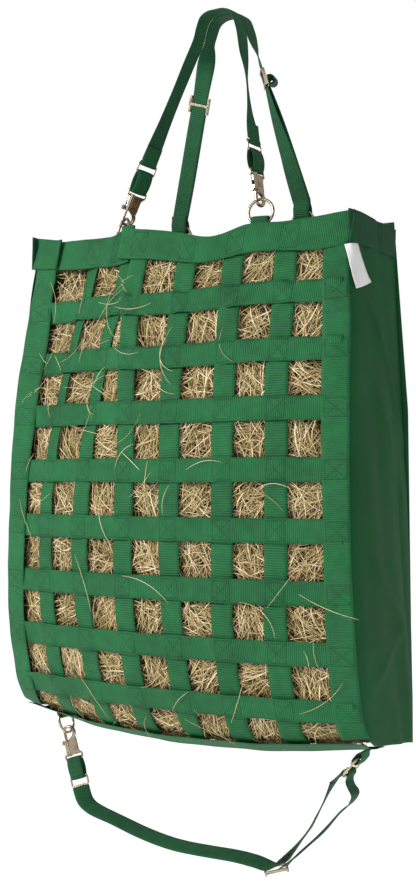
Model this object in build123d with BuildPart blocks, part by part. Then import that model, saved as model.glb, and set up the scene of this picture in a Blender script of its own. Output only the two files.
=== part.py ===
from build123d import *
import os
from math import sin, cos, radians, sqrt, tan

# Slow-feed hay bag: a webbing net front and underside, fabric sides and back, two
# hanging straps over the top and one adjustable strap below, with sewn-in rings.
# Frame: +Z up, front face towards -Y, origin under the top of the hanging straps,
# where a hook or rail carries the bag. Millimetres.

os.makedirs("parts", exist_ok=True)

# ---- driving dimensions -------------------------------------------------------
web_w = 31.75          # net webbing width
web_t = 1.2            # net webbing thickness
strap_w = 25.4         # hanging and bottom strap width
strap_t = 1.8          # hanging strap thickness
border_w = 36.0        # border webbing at the net's sides
band_h = 48.0          # folded band round the mouth
fabric_t = 1.5         # side and back fabric
back_y = 71.0          # inner face of the back panel
bulge_x = -30.0        # line of the front's fullest bulge
bulge_r = 1015.0       # radius of the front's bulge across its width
ring_r = 17.5          # ring: mean radius
wire_r = 2.0           # ring: wire radius
tab_w = 25.0           # ring tab width
tab_in = 3.6           # ring tab: half the gap inside the loop
tab_t = 1.4            # ring tab thickness
chord = 10.8           # ring centre to the loop's centre
link_in = 26.2         # rectangular ring: inner width
link_gap = 13.0        # rectangular ring: bar centre to bar centre
bar_r = 1.5            # rectangular ring and snap eye: wire radius
loop_r = 1.95          # webbing loop round a bar: inner radius
link_tab = 27.0        # snap tab: bar centre to bar centre
snap_len = 40.0        # snap: hook centre to eye bar
hook_r = 9.5           # snap hook: mean radius
hook_t = 2.6           # snap hook: section radius
bolt_r = 2.2           # snap bolt radius
bolt_v = -7.0          # snap bolt: offset from the hook's centre line
bore_r = 2.5           # snap barrel bore radius
barrel_r = 4.3         # snap barrel radius
stud_u = 13.0          # thumb stud: distance above the hook's centre
travel = 9.0           # snap bolt travel
cord_r = 12.7          # bottom strap envelope radius, half its width

# Front profile at the bulge line, rim to rear hem, as (y, z). Window rows sit at
# the even steps from 2 to 18 and the cross straps at the odd steps between them.
PROFILE = [(-72, -304), (-82, -338), (-92, -374), (-102, -411), (-111, -448),
           (-119, -486), (-125, -523), (-130.5, -561), (-134.5, -600), (-137, -639),
           (-138, -678), (-138, -716), (-136.5, -755), (-134.5, -794), (-131, -833),
           (-124, -871), (-115, -908), (-104, -945), (-88, -978), (-70, -999),
           (-45, -1010), (-10, -1015), (30, -1013), (61, -1005)]
STEPS = [0, 2, 6, 10, 14, 18, 23]
LEFT = [-308, -306, -304, -308, -318, -328, -324]
RIGHT = [224, 228, 250, 260, 260, 254, 250]
COLUMNS = [[-186, -190, -209, -222, -227, -230, -230],
           [-123, -127, -141, -147, -150, -152, -152],
           [-75, -75, -74.5, -74, -75, -76, -76],
           [-10, -10, -2, 2, 2, 1, 1],
           [64, 65, 74, 79, 78, 76, 76],
           [138, 140, 149.5, 155, 152, 149, 149]]
RIM_X = [-312, -186, -132, -114, -33, 22, 61, 113, 190, 228]
RIM_Z = [-292, -306, -298, -298, -312, -323, -316, -310, -310, -304]


def interp(x, xs, ys):
    if x <= xs[0]:
        return ys[0]
    for i in range(len(xs) - 1):
        if x <= xs[i + 1]:
            f = (x - xs[i]) / (xs[i + 1] - xs[i])
            return ys[i] + (ys[i + 1] - ys[i]) * f
    return ys[-1]


def surf(x, k):
    """Point of the front and underside at width x and profile step k."""
    ks = list(range(len(PROFILE)))
    y = interp(k, ks, [p[0] for p in PROFILE])
    z = interp(k, ks, [p[1] for p in PROFILE])
    g = (x - bulge_x) ** 2 / (2 * bulge_r)
    under = interp(k, [17, 20], [0.0, 1.0])
    fade = interp(k, [19, 23], [1.0, 0.0])
    return Vector(x, y + g * fade, z + 0.5 * g * under)


def outward(x, k):
    """Unit normal of the front surface, pointing out of the bag."""
    a = surf(x, min(k + 0.3, 23)) - surf(x, max(k - 0.3, 0))
    b = surf(x + 2, k) - surf(x - 2, k)
    return a.cross(b).normalized()


def stations(points, across, widths, thick):
    """Section planes and sizes along a band: width along `across`."""
    out = []
    n = len(points)
    for i, p in enumerate(points):
        t = (points[min(i + 1, n - 1)] - points[max(i - 1, 0)]).normalized()
        a = across[i] - t * across[i].dot(t)
        out.append((Plane(origin=p, x_dir=a.normalized(), z_dir=t), widths[i], thick))
    return out


def az(deg):
    return Vector(cos(radians(deg)), sin(radians(deg)), 0)


# ---- net: straps down the front and under the bag -------------------------------
for i, col in enumerate(COLUMNS):
    pts, acr = [], []
    for k in [0.4] + list(range(1, 23)) + [22.7]:
        x = interp(k, STEPS, col)
        pts.append(surf(x, k) - outward(x, k) * (web_t / 2))
        acr.append(surf(x + 2, k) - surf(x - 2, k))
    with BuildPart() as vertical:
        for pl, w, t in stations(pts, acr, [web_w] * len(pts), web_t):
            with BuildSketch(pl):
                Rectangle(w, t)
        loft(ruled=True)
    vertical.part.label = f"net_vertical_strap_{i + 1}"
    export_step(vertical.part, f"parts/net_vertical_strap_{i + 1}.step")


def crosswise(k, off, thick, width, x0, x1, n=13):
    """Band across the front at profile step k, off mm outside the surface."""
    pts, acr = [], []
    for j in range(n):
        x = x0 + (x1 - x0) * j / (n - 1)
        pts.append(surf(x, k) + outward(x, k) * off)
        acr.append(surf(x, min(k + 0.3, 23)) - surf(x, max(k - 0.3, 0)))
    return stations(pts, acr, [width] * n, thick)


def left(k):
    return interp(k, STEPS, LEFT)


def right(k):
    return interp(k, STEPS, RIGHT)


# ---- net: straps across the front, sewn over the upright ones -------------------
for j in range(8):
    k = 3 + 2 * j
    with BuildPart() as horizontal:
        for pl, w, t in crosswise(k, 0.4 + web_t / 2, web_t, web_w, left(k) + 4, right(k) - 4):
            with BuildSketch(pl):
                Rectangle(w, t)
        loft(ruled=True)
    horizontal.part.label = f"net_horizontal_strap_{j + 1}"
    export_step(horizontal.part, f"parts/net_horizontal_strap_{j + 1}.step")

# Border webbing down each side of the net, over the ends of the cross straps.
for name, edge, sign in (("net_border_left", left, 1), ("net_border_right", right, -1)):
    pts, acr = [], []
    for k in [0.7, 1, 1.9, 2.5] + list(range(3, 18)) + [17.8]:
        x = edge(k) + sign * border_w / 2
        off = interp(k, [1.9, 2.5, 14, 16], [0.5, 2.0, 2.0, 3.6])
        pts.append(surf(x, k) + outward(x, k) * (off + web_t / 2))
        acr.append(surf(x + 2, k) - surf(x - 2, k))
    with BuildPart() as border:
        for pl, w, t in stations(pts, acr, [border_w] * len(pts), web_t):
            with BuildSketch(pl):
                Rectangle(w, t)
        loft(ruled=True)
    border.part.label = name
    export_step(border.part, f"parts/{name}.step")

# Hem along the lower front edge and two straps across the underside.
for name, k, width in (("net_bottom_hem", 19.55, 34.0), ("underside_cross_strap", 21.0, web_w),
                       ("underside_rear_hem", 22.55, 24.0)):
    with BuildPart() as cross:
        for pl, w, t in crosswise(k, 0.8 + web_t / 2, web_t, width, left(k) + 9, right(k) - 7):
            with BuildSketch(pl):
                Rectangle(w, t)
        loft(ruled=True)
    cross.part.label = name
    export_step(cross.part, f"parts/{name}.step")

# ---- mouth bands ---------------------------------------------------------------
# Front band: a folded webbing whose rim dips between the rings.
pts, acr = [], []
xs = [-308, -280, -240, -186, -150, -132, -114, -80, -33, 0, 22, 45, 61, 85, 113, 150, 190, 223]
for x in xs:
    zc = interp(x, RIM_X, RIM_Z) - band_h / 2
    k = 0.0 + (-304 - zc) / 34.0
    p = surf(x, max(k, 0))
    pts.append(Vector(p.X, p.Y, zc) + outward(x, 0.8) * 3.6)
    acr.append(surf(x, 1.2) - surf(x, 0.2))
with BuildPart() as top_band_front:
    for pl, w, t in stations(pts, acr, [band_h] * len(pts), 2.6):
        with BuildSketch(pl):
            Rectangle(w, t)
    loft(ruled=True)
top_band_front.part.label = "top_band_front"
export_step(top_band_front.part, "parts/top_band_front.step")

# Side and rear band: a flat-backed U inside the side and back fabric.
def side_band(x_l, x_r, y_f, y_b, thick):
    outer = [(x_l, y_f), (x_l, y_b), (x_r, y_b), (x_r, y_f)]
    inner = [(x_r - thick, y_f), (x_r - thick, y_b - thick), (x_l + thick, y_b - thick), (x_l + thick, y_f)]
    return outer + inner


with BuildPart() as top_band_rear:
    with BuildSketch(Plane.XY.offset(-352)):
        with BuildLine():
            Polyline(*side_band(-302.5, 219.5, -24, back_y - 1.0, 2.4), close=True)
        make_face()
    extrude(amount=band_h)
top_band_rear.part.label = "top_band_rear"
export_step(top_band_rear.part, "parts/top_band_rear.step")

# ---- side and back fabric -------------------------------------------------------
for name, edge, back, sign in (
        ("side_panel_left", left, [-308, -310, -312, -318, -326], -1),
        ("side_panel_right", right, [226, 234, 245, 249, 252], 1)):
    with BuildPart() as side:
        for k in [0.3, 2, 4, 6, 8, 10, 12, 14, 16, 18, 19]:
            front = surf(edge(k), k)
            z = front.Z if k > 0.3 else -306
            xb = interp(k, [0, 5, 10, 14, 18], back)
            y0, y1 = front.Y + 3.0, back_y - 0.6
            x0, x1 = front.X + sign * 0.6, xb + sign * 0.6
            with BuildSketch(Plane.XY.offset(z)):
                with BuildLine():
                    Polyline((x0, y0), (x1, y1), (x1 + sign * fabric_t, y1), (x0 + sign * fabric_t, y0), close=True)
                make_face()
        loft(ruled=True)
    side.part.label = name
    export_step(side.part, f"parts/{name}.step")

with BuildPart() as back_panel:
    with BuildSketch(Plane.XZ.offset(-back_y)):
        with BuildLine():
            Polyline((-306, -303), (226, -303), (246, -560), (251, -992), (-325, -992), (-311, -560), close=True)
        make_face()
    extrude(amount=-fabric_t)
back_panel.part.label = "back_panel"
export_step(back_panel.part, "parts/back_panel.step")

# ---- the fill of hay -------------------------------------------------------------
with BuildPart() as hay_fill:
    for k in [1.6, 2, 4, 6, 8, 10, 12, 14, 16, 17, 18]:
        zc = interp(k, list(range(len(PROFILE))), [p[1] for p in PROFILE])
        inset = 13.0 if k < 17 else 13.0 + 9.0 * (k - 16)
        x0, x1 = left(k) + 9, right(k) - 9
        front = [(x0 + (x1 - x0) * j / 8, surf(x0 + (x1 - x0) * j / 8, k).Y + inset) for j in range(9)]
        xb0, xb1 = max(x0, -300), min(x1, 217)
        with BuildSketch(Plane.XY.offset(zc)):
            with BuildLine():
                Polyline(*front, (xb1, back_y - 6), (xb0, back_y - 6), close=True)
            make_face()
    loft(ruled=True)
hay_fill.part.label = "hay_fill"
export_step(hay_fill.part, "parts/hay_fill.step")

# ---- sewn-in label, plain ---------------------------------------------------------
with BuildPart() as side_label:
    with BuildSketch(Plane(origin=(232.6, -34, -373), x_dir=(0, 1, 0), z_dir=(1, 0, 0.12))):
        RectangleRounded(24, 46, 1.5)
    extrude(amount=0.8)
side_label.part.label = "side_label"
export_step(side_label.part, "parts/side_label.step")

# ---- rings and their tabs ----------------------------------------------------------
# name: ring centre, direction of the tab's width, point it is pulled towards, tab tail
RINGS = {
    "front_left": (Vector(-142, -50, -297), 151, Vector(-98, -45, -203), 32.0),
    "front_right": (Vector(92, -52, -295), 12, Vector(76, -44, -203), 32.0),
    "rear_left": (Vector(-116, 57, -296), 4, Vector(-24, 13, 0), 26.0),
    "rear_right": (Vector(93, 57, -295), 4, Vector(24, 13, 0), 26.0),
    "bottom_left": (Vector(-317, 36, -1021), 95, Vector(-289, 33, -1111), 2.0),
    "bottom_right": (Vector(236, -62, -1012), 95, Vector(103, -33, -1169), 4.0),
}
PLANES = {}


for name, (c, a, toward, tail) in RINGS.items():
    d = az(a)
    away = toward - c
    away = (away - d * away.dot(d)).normalized()
    n = d.cross(away)
    PLANES[name] = (c, d, away, n)
    with BuildPart() as ring:
        with BuildSketch(Plane(origin=c + d * ring_r, x_dir=d, z_dir=away)):
            Circle(wire_r)
        revolve(axis=Axis(c, n), revolution_arc=360)
    ring.part.label = f"ring_{name}"
    export_step(ring.part, f"parts/ring_{name}.step")
    # The tab folds over the ring's near wire; its two layers are sewn together and
    # caught behind the band. Local y of this section points towards the ring.
    with BuildPart() as tab:
        with BuildSketch(Plane(origin=c - away * chord - d * (tab_w / 2), x_dir=away.cross(d), z_dir=d)):
            with Locations((0, -6.5)):
                SlotCenterToCenter(13.0, 2 * (tab_in + tab_t), rotation=90)
            with Locations((0, -(13.0 + tail / 2))):
                Rectangle(2 * tab_t + 0.2, tail)
            with Locations((0, -5.2)):
                SlotCenterToCenter(10.4, 2 * tab_in, rotation=90, mode=Mode.SUBTRACT)
        extrude(amount=tab_w)
    tab.part.label = f"ring_tab_{name}"
    export_step(tab.part, f"parts/ring_tab_{name}.step")


# ---- snaps, their tabs and rectangular rings -----------------------------------------
# name: rectangular ring's far bar, direction of the snap's own plane
SNAPS = {
    "front_left": (Vector(-99, -45, -203), 68),
    "front_right": (Vector(76, -44, -203), 88),
    "bottom_left": (Vector(-287, 33, -1111), 8),
}
LINKS = {}
for name, (far, a) in SNAPS.items():
    c, d, away, n = PLANES[name]
    toward = far - c
    toward = (toward - n * toward.dot(n)).normalized()
    wire = c + toward * ring_r
    up = (far - wire).normalized()
    v = az(a)
    v = (v - up * v.dot(up)).normalized()
    w = v.cross(up)
    centre = wire + up * 1.2
    body_plane = Plane(origin=centre, x_dir=v, z_dir=w)
    eye = centre + up * snap_len
    near = eye + up * link_tab
    far_bar = near + up * link_gap
    LINKS[name] = (centre, up, v, w, eye, near, far_bar)
    # Body: hook, shank, barrel and eye in one casting.
    with BuildPart() as snap:
        with BuildLine(body_plane):
            hook_path = CenterArc((0, 0), hook_r, -140, 190)
        with BuildSketch(Plane(origin=hook_path @ 0, z_dir=hook_path % 0)):
            Circle(hook_t * 0.8)
        with BuildSketch(Plane(origin=hook_path @ 0.5, z_dir=hook_path % 0.5)):
            Circle(hook_t)
        with BuildSketch(Plane(origin=hook_path @ 1, z_dir=hook_path % 1)):
            Circle(hook_t * 1.1)
        sweep(path=hook_path, multisection=True)
        with BuildSketch(body_plane):
            with BuildLine():
                Polyline((8.8, 5.6), (4.6, 5.8), (-3.6, 11.2), (-9.8, 11.2), (-9.8, 30.5),
                         (-14.9, 33.5), (14.9, 33.5), (9.8, 27.5), (9.6, 12.0), close=True)
            make_face()
        extrude(amount=2.4, both=True)
        with BuildSketch(Plane(origin=body_plane.from_local_coords((bolt_v, 10.5, 0)), x_dir=v, z_dir=up)):
            Circle(barrel_r)
        extrude(amount=24.0)
        with BuildLine(body_plane):
            eye_x = link_in / 2 + bar_r
            eye_path = FilletPolyline((-eye_x, 32.0), (-eye_x, snap_len), (eye_x, snap_len), (eye_x, 32.0), radius=2.2)
        with BuildSketch(Plane(origin=eye_path @ 0, z_dir=eye_path % 0)):
            Circle(bar_r)
        sweep(path=eye_path)
        with BuildSketch(Plane(origin=body_plane.from_local_coords((bolt_v, 8.0, 0)), x_dir=v, z_dir=up)):
            Circle(bore_r)
        extrude(amount=25.0, mode=Mode.SUBTRACT)
        # Slot that the thumb stud runs in.
        with BuildSketch(body_plane):
            with Locations((bolt_v - 6.5, stud_u + travel / 2)):
                Rectangle(13.0, travel + 3.6)
        extrude(amount=1.75, both=True, mode=Mode.SUBTRACT)
    snap.part.label = f"snap_body_{name}"
    export_step(snap.part, f"parts/snap_body_{name}.step")
    with BuildPart() as snap_bolt:
        with BuildSketch(Plane(origin=body_plane.from_local_coords((bolt_v, -4.0, 0)), x_dir=v, z_dir=up)):
            Circle(bolt_r)
        extrude(amount=22.4)
        with BuildSketch(Plane(origin=body_plane.from_local_coords((bolt_v - 1.0, stud_u, 0)), x_dir=up, z_dir=v * -1)):
            Circle(1.4)
        extrude(amount=6.0)
        with BuildSketch(Plane(origin=body_plane.from_local_coords((bolt_v - 5.0, stud_u, 0)), x_dir=up, z_dir=v * -1)):
            Circle(3.2)
        extrude(amount=2.6)
    snap_bolt.part.label = f"snap_bolt_{name}"
    export_step(snap_bolt.part, f"parts/snap_bolt_{name}.step")
    # Return spring at its compressed length, at the closed end of the bore.
    with BuildPart() as spring:
        with BuildLine():
            coil = Helix(pitch=1.3, height=3.6, radius=1.7, center=body_plane.from_local_coords((bolt_v, 28.6, 0)), direction=up)
        with BuildSketch(Plane(origin=coil @ 0, z_dir=coil % 0)):
            Circle(0.35)
        sweep(path=coil)
    spring.part.label = f"snap_spring_{name}"
    export_step(spring.part, f"parts/snap_spring_{name}.step")
    # Webbing tab from the eye bar to the rectangular ring's near bar.
    with BuildPart() as snap_tab:
        with BuildSketch(Plane(origin=(eye + near) * 0.5 - v * 12.3, x_dir=up, z_dir=v)):
            SlotCenterToCenter(link_tab, 2 * (loop_r + tab_t))
            with Locations((-link_tab / 2, 0), (link_tab / 2, 0)):
                Circle(loop_r, mode=Mode.SUBTRACT)
        extrude(amount=24.6)
    snap_tab.part.label = f"snap_tab_{name}"
    export_step(snap_tab.part, f"parts/snap_tab_{name}.step")
    # Rectangular wire ring.
    with BuildPart() as rect_ring:
        rx, ry = link_in / 2 + bar_r, link_gap / 2
        for s in (1, -1):
            with BuildLine(Plane(origin=(near + far_bar) * 0.5, x_dir=v, z_dir=w)):
                half = FilletPolyline((0, -ry), (s * rx, -ry), (s * rx, ry), (0, ry), radius=2.2)
            with BuildSketch(Plane(origin=half @ 0, z_dir=half % 0)):
                Circle(bar_r)
            sweep(path=half)
    rect_ring.part.label = f"rect_ring_{name}"
    export_step(rect_ring.part, f"parts/rect_ring_{name}.step")
    print("SNAP", name, "up", tuple(up), "v", tuple(v), "w", tuple(w), "eye", tuple(eye), "far", tuple(far_bar))
for name, (c, d, away, n) in PLANES.items():
    pivot = c - away * chord
    print("RING", name, "pivot", tuple(pivot), "axis", tuple(d), "away", tuple(away))


# ---- hanging straps ---------------------------------------------------------------
def leg(shoulder, first, end, turns, last):
    """Sections down a strap leg: (fraction, width azimuth) pairs, then `last`."""
    out = [(shoulder, first)]
    for f, a in turns:
        out.append((shoulder + (end - shoulder) * f, az(a)))
    out.append((end, last))
    pts = [p for p, _ in out]
    return stations(pts, [q for _, q in out], [strap_w] * len(out), strap_t)


arch_x, arch_drop = 36.0, 34.0
GLIDES = {}
for name, y in (("front", -13.3), ("rear", 13.3)):
    with BuildPart() as strap:
        # Saddle over the support.
        with BuildLine(Plane.XZ.offset(-y)):
            saddle = FilletPolyline((-arch_x, -arch_drop), (-21, 0.9), (21, 0.9), (arch_x, -arch_drop), radius=13.0)
        with BuildSketch(Plane(origin=saddle @ 0, x_dir=(0, 1, 0), z_dir=saddle % 0)):
            Rectangle(strap_w, strap_t)
        sweep(path=saddle)
        for s, side in ((-1, "left"), (1, "right")):
            start = Vector(s * arch_x, y, -arch_drop)
            if name == "front":
                c, up, v, w, eye, near, far_bar = LINKS["front_" + side]
                end = far_bar + up * 3.7
                turns = [(0.25, 90), (0.5, 90), (0.75, 88)]
                last = v if v.Y > 0 else v * -1
            else:
                c, d, away, n = PLANES["rear_" + side]
                o = c + away * chord
                end = o + away * 16.0
                last = d if side == "left" else d * -1
                if side == "left":
                    turns = [(0.06, 68), (0.12, 34), (0.18, 4), (0.55, 4), (0.98, 4)]
                else:
                    turns = [(0.06, 100), (0.12, 124), (0.5, 124), (0.6, 142), (0.7, 165), (0.8, 184), (0.98, 184)]
                GLIDES[side] = (start, end)
            with BuildSketch(*[pl for pl, _, _ in leg(start, Vector(0, 1, 0), end, turns, last)]):
                Rectangle(strap_w, strap_t)
            loft(ruled=True)
            if name == "front":
                # The end is turned back round the rectangular ring's bar.
                with BuildSketch(Plane(origin=far_bar - v * 12.7, x_dir=up, z_dir=v)):
                    Circle(loop_r + tab_t)
                    with Locations((2.6, 0)):
                        Rectangle(4.0, 3.2)
                    Circle(loop_r, mode=Mode.SUBTRACT)
                extrude(amount=strap_w)
            else:
                with BuildSketch(Plane(origin=o - d * (strap_w / 2 - 0.2), x_dir=d.cross(away) * -1, z_dir=d)):
                    with Locations((0, 6.5)):
                        SlotCenterToCenter(13.0, 2 * (4.2 + tab_t), rotation=90)
                    with Locations((0, 15.5)):
                        Rectangle(3.6, 9.0)
                    with Locations((0, 5.2)):
                        SlotCenterToCenter(10.4, 8.4, rotation=90, mode=Mode.SUBTRACT)
                extrude(amount=strap_w - 0.4)
    strap.part.label = f"hang_strap_{name}"
    export_step(strap.part, f"parts/hang_strap_{name}.step")


# ---- adjusting slides -----------------------------------------------------------------
# Rails beside the webbing, two outer bars in front of it and the middle bar behind.
SLIDES = {"bottom": Plane(origin=(104, -34, -1168), x_dir=(0.80, 0.55, 0.22), z_dir=(-0.15, -0.14, 0.97))}
for side, f, a in (("left", 0.335, 4), ("right", 0.25, 124)):
    start, end = GLIDES[side]
    t = (end - start).normalized()
    x = az(a)
    x = (x - t * x.dot(t)).normalized()
    at = start + (end - start) * f
    SLIDES[f"rear_{side}"] = Plane(origin=at, x_dir=x, z_dir=x.cross(t))
    print("SLIDE", side, tuple(at), "dir", tuple(t))
for name, plane in SLIDES.items():
    with BuildPart() as slide:
        with BuildSketch(plane.offset(-2.2)):
            with Locations((-14.8, 0), (14.8, 0)):
                RectangleRounded(3.0, 24.0, 1.2)
        extrude(amount=4.4)
        with BuildSketch(plane.offset(1.3)):
            with Locations((0, -10.0), (0, 10.0)):
                Rectangle(29.6, 3.2)
        extrude(amount=2.0)
        with BuildSketch(plane.offset(-3.3)):
            Rectangle(29.6, 3.6)
        extrude(amount=2.0)
    slide.part.label = f"strap_slide_{name}"
    export_step(slide.part, f"parts/strap_slide_{name}.step")

# ---- bottom strap ------------------------------------------------------------------------
far_bar = LINKS["bottom_left"][6]
c, d, away, n = PLANES["bottom_right"]
ROUTE = [Vector(-285, 32.3, -1116), Vector(-279.5, 31.2, -1131.5), Vector(-268, 29, -1141.5), Vector(-246, 25, -1147.5),
         Vector(-205, 18, -1153), Vector(-150, 9, -1163), Vector(-85, -2, -1169), Vector(-20, -13, -1166),
         Vector(35, -22, -1162.5), Vector(72, -28, -1163.5), Vector(94, -32, -1167), Vector(108, -34.5, -1162),
         Vector(122, -37, -1147), Vector(139.4, -40, -1129), Vector(160, -44, -1107), Vector(178, -49, -1080),
         Vector(194.8, -54, -1052), Vector(206, -57.5, -1034)]
radii = []
for i in range(1, len(ROUTE) - 1):
    p, q, r = ROUTE[i - 1], ROUTE[i], ROUTE[i + 1]
    turn = (q - p).get_angle(r - q)
    radii.append(0.45 * min((q - p).length, (r - q).length) / tan(radians(turn / 2)))
print("bottom strap radii", [round(r) for r in radii])
with BuildPart() as bottom_strap:
    with BuildLine():
        route = FilletPolyline(*ROUTE, radius=radii)
    with BuildSketch(Plane(origin=route @ 0, z_dir=route % 0)):
        Circle(cord_r)
    sweep(path=route)
bottom_strap.part.label = "bottom_strap"
export_step(bottom_strap.part, "parts/bottom_strap.step")
print("bottom strap length", route.length, "volume ratio",
      bottom_strap.part.volume / (3.14159265 * cord_r ** 2 * route.length))

# Turned end round the lower ring, and the second strand back to the slide.
o = c + away * chord
with BuildPart() as bottom_strap_return:
    with BuildSketch(Plane(origin=o - d * (strap_w / 2 - 0.2), x_dir=d.cross(away) * -1, z_dir=d)):
        with Locations((0, 6.5)):
            SlotCenterToCenter(13.0, 2 * (4.2 + tab_t), rotation=90)
        with Locations((0, 5.2)):
            SlotCenterToCenter(10.4, 8.4, rotation=90, mode=Mode.SUBTRACT)
    extrude(amount=strap_w - 0.4)
    back = [Vector(221, -63.3, -1033.5), Vector(228.5, -61.5, -1037.5), Vector(232, -59, -1046), Vector(226, -56, -1058),
            Vector(208, -51, -1076), Vector(188.4, -46, -1098), Vector(163.7, -41, -1119.6), Vector(142, -38, -1138)]
    with BuildSketch(*[pl for pl, _, _ in stations(back, [d * -1, az(272), az(270), az(265), az(262), az(258), az(252), az(246)],
                                                   [strap_w - 0.4] * 8, strap_t)]):
        Rectangle(strap_w - 0.4, strap_t)
    loft(ruled=True)
bottom_strap_return.part.label = "bottom_strap_return"
export_step(bottom_strap_return.part, "parts/bottom_strap_return.step")
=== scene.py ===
import bpy
import math
import random
import numpy as np
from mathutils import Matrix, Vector


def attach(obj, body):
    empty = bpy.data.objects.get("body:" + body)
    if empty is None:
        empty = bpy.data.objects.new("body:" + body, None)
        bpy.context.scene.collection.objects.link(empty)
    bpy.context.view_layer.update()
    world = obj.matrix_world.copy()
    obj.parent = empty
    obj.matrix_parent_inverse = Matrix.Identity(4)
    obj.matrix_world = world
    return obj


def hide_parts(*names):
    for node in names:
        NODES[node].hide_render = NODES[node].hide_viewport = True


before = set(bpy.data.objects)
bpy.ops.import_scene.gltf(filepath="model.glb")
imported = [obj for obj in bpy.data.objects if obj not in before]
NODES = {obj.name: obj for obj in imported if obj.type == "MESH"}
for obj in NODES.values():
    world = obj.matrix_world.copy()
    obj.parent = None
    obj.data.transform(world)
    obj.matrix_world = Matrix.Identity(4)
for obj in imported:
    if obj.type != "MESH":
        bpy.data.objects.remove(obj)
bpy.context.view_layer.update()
rng = random.Random(7)
npr = np.random.default_rng(11)
MM = 0.001

# ------------------------------------------------------------------ camera and stage
cam = bpy.data.objects.new("camera", bpy.data.cameras.new("camera"))
bpy.context.scene.collection.objects.link(cam)
cam.location = (1.124, -1.678, -0.648)
elev = math.radians(1.4)
a0 = math.radians(34.5)
look = Vector((-math.sin(a0) * math.cos(elev), math.cos(a0) * math.cos(elev), math.sin(elev)))
cam.rotation_mode = "QUATERNION"
cam.rotation_quaternion = look.to_track_quat("-Z", "Y")
cam.data.sensor_fit = "AUTO"
cam.data.sensor_width = 36.0
cam.data.lens = 59.12
bpy.context.scene.camera = cam


# ------------------------------------------------------------------ materials
def node_mat(name, build, rough=0.6, **direct):
    m = bpy.data.materials.new(name)
    m.use_nodes = True
    nt = m.node_tree
    bsdf = nt.nodes["Principled BSDF"]
    bsdf.inputs["Roughness"].default_value = rough
    for k, v in direct.items():
        bsdf.inputs[k.replace("_", " ")].default_value = v
    build(nt, bsdf)
    return m


def n_new(nt, kind, **props):
    n = nt.nodes.new(kind)
    for k, v in props.items():
        setattr(n, k, v)
    return n


def math_node(nt, op, a, b=None, c=None):
    n = n_new(nt, "ShaderNodeMath", operation=op)
    for i, v in enumerate((a, b, c)):
        if v is None:
            continue
        if isinstance(v, (int, float)):
            n.inputs[i].default_value = v
        else:
            nt.links.new(v, n.inputs[i])
    return n.outputs[0]


def noise(nt, vec, scale, detail=3.0, rough=0.5):
    n = n_new(nt, "ShaderNodeTexNoise")
    n.inputs["Scale"].default_value = scale
    n.inputs["Detail"].default_value = detail
    n.inputs["Roughness"].default_value = rough
    nt.links.new(vec, n.inputs["Vector"])
    return n.outputs["Fac"]


def ramp(nt, fac, stops):
    r = n_new(nt, "ShaderNodeValToRGB")
    el = r.color_ramp.elements
    while len(el) > 1:
        el.remove(el[-1])
    el[0].position, el[0].color = stops[0][0], (*stops[0][1], 1)
    for p, c in stops[1:]:
        e = el.new(p)
        e.color = (*c, 1)
    nt.links.new(fac, r.inputs["Fac"])
    return r.outputs["Color"]


def mix_rgb(nt, mode, fac, a, b):
    m = n_new(nt, "ShaderNodeMix", data_type="RGBA", blend_type=mode)
    for sock, v in ((m.inputs["Factor"], fac), (m.inputs[6], a), (m.inputs[7], b)):
        if isinstance(v, (int, float)):
            sock.default_value = v
        elif isinstance(v, tuple):
            sock.default_value = (*v, 1)
        else:
            nt.links.new(v, sock)
    return m.outputs[2]


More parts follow.
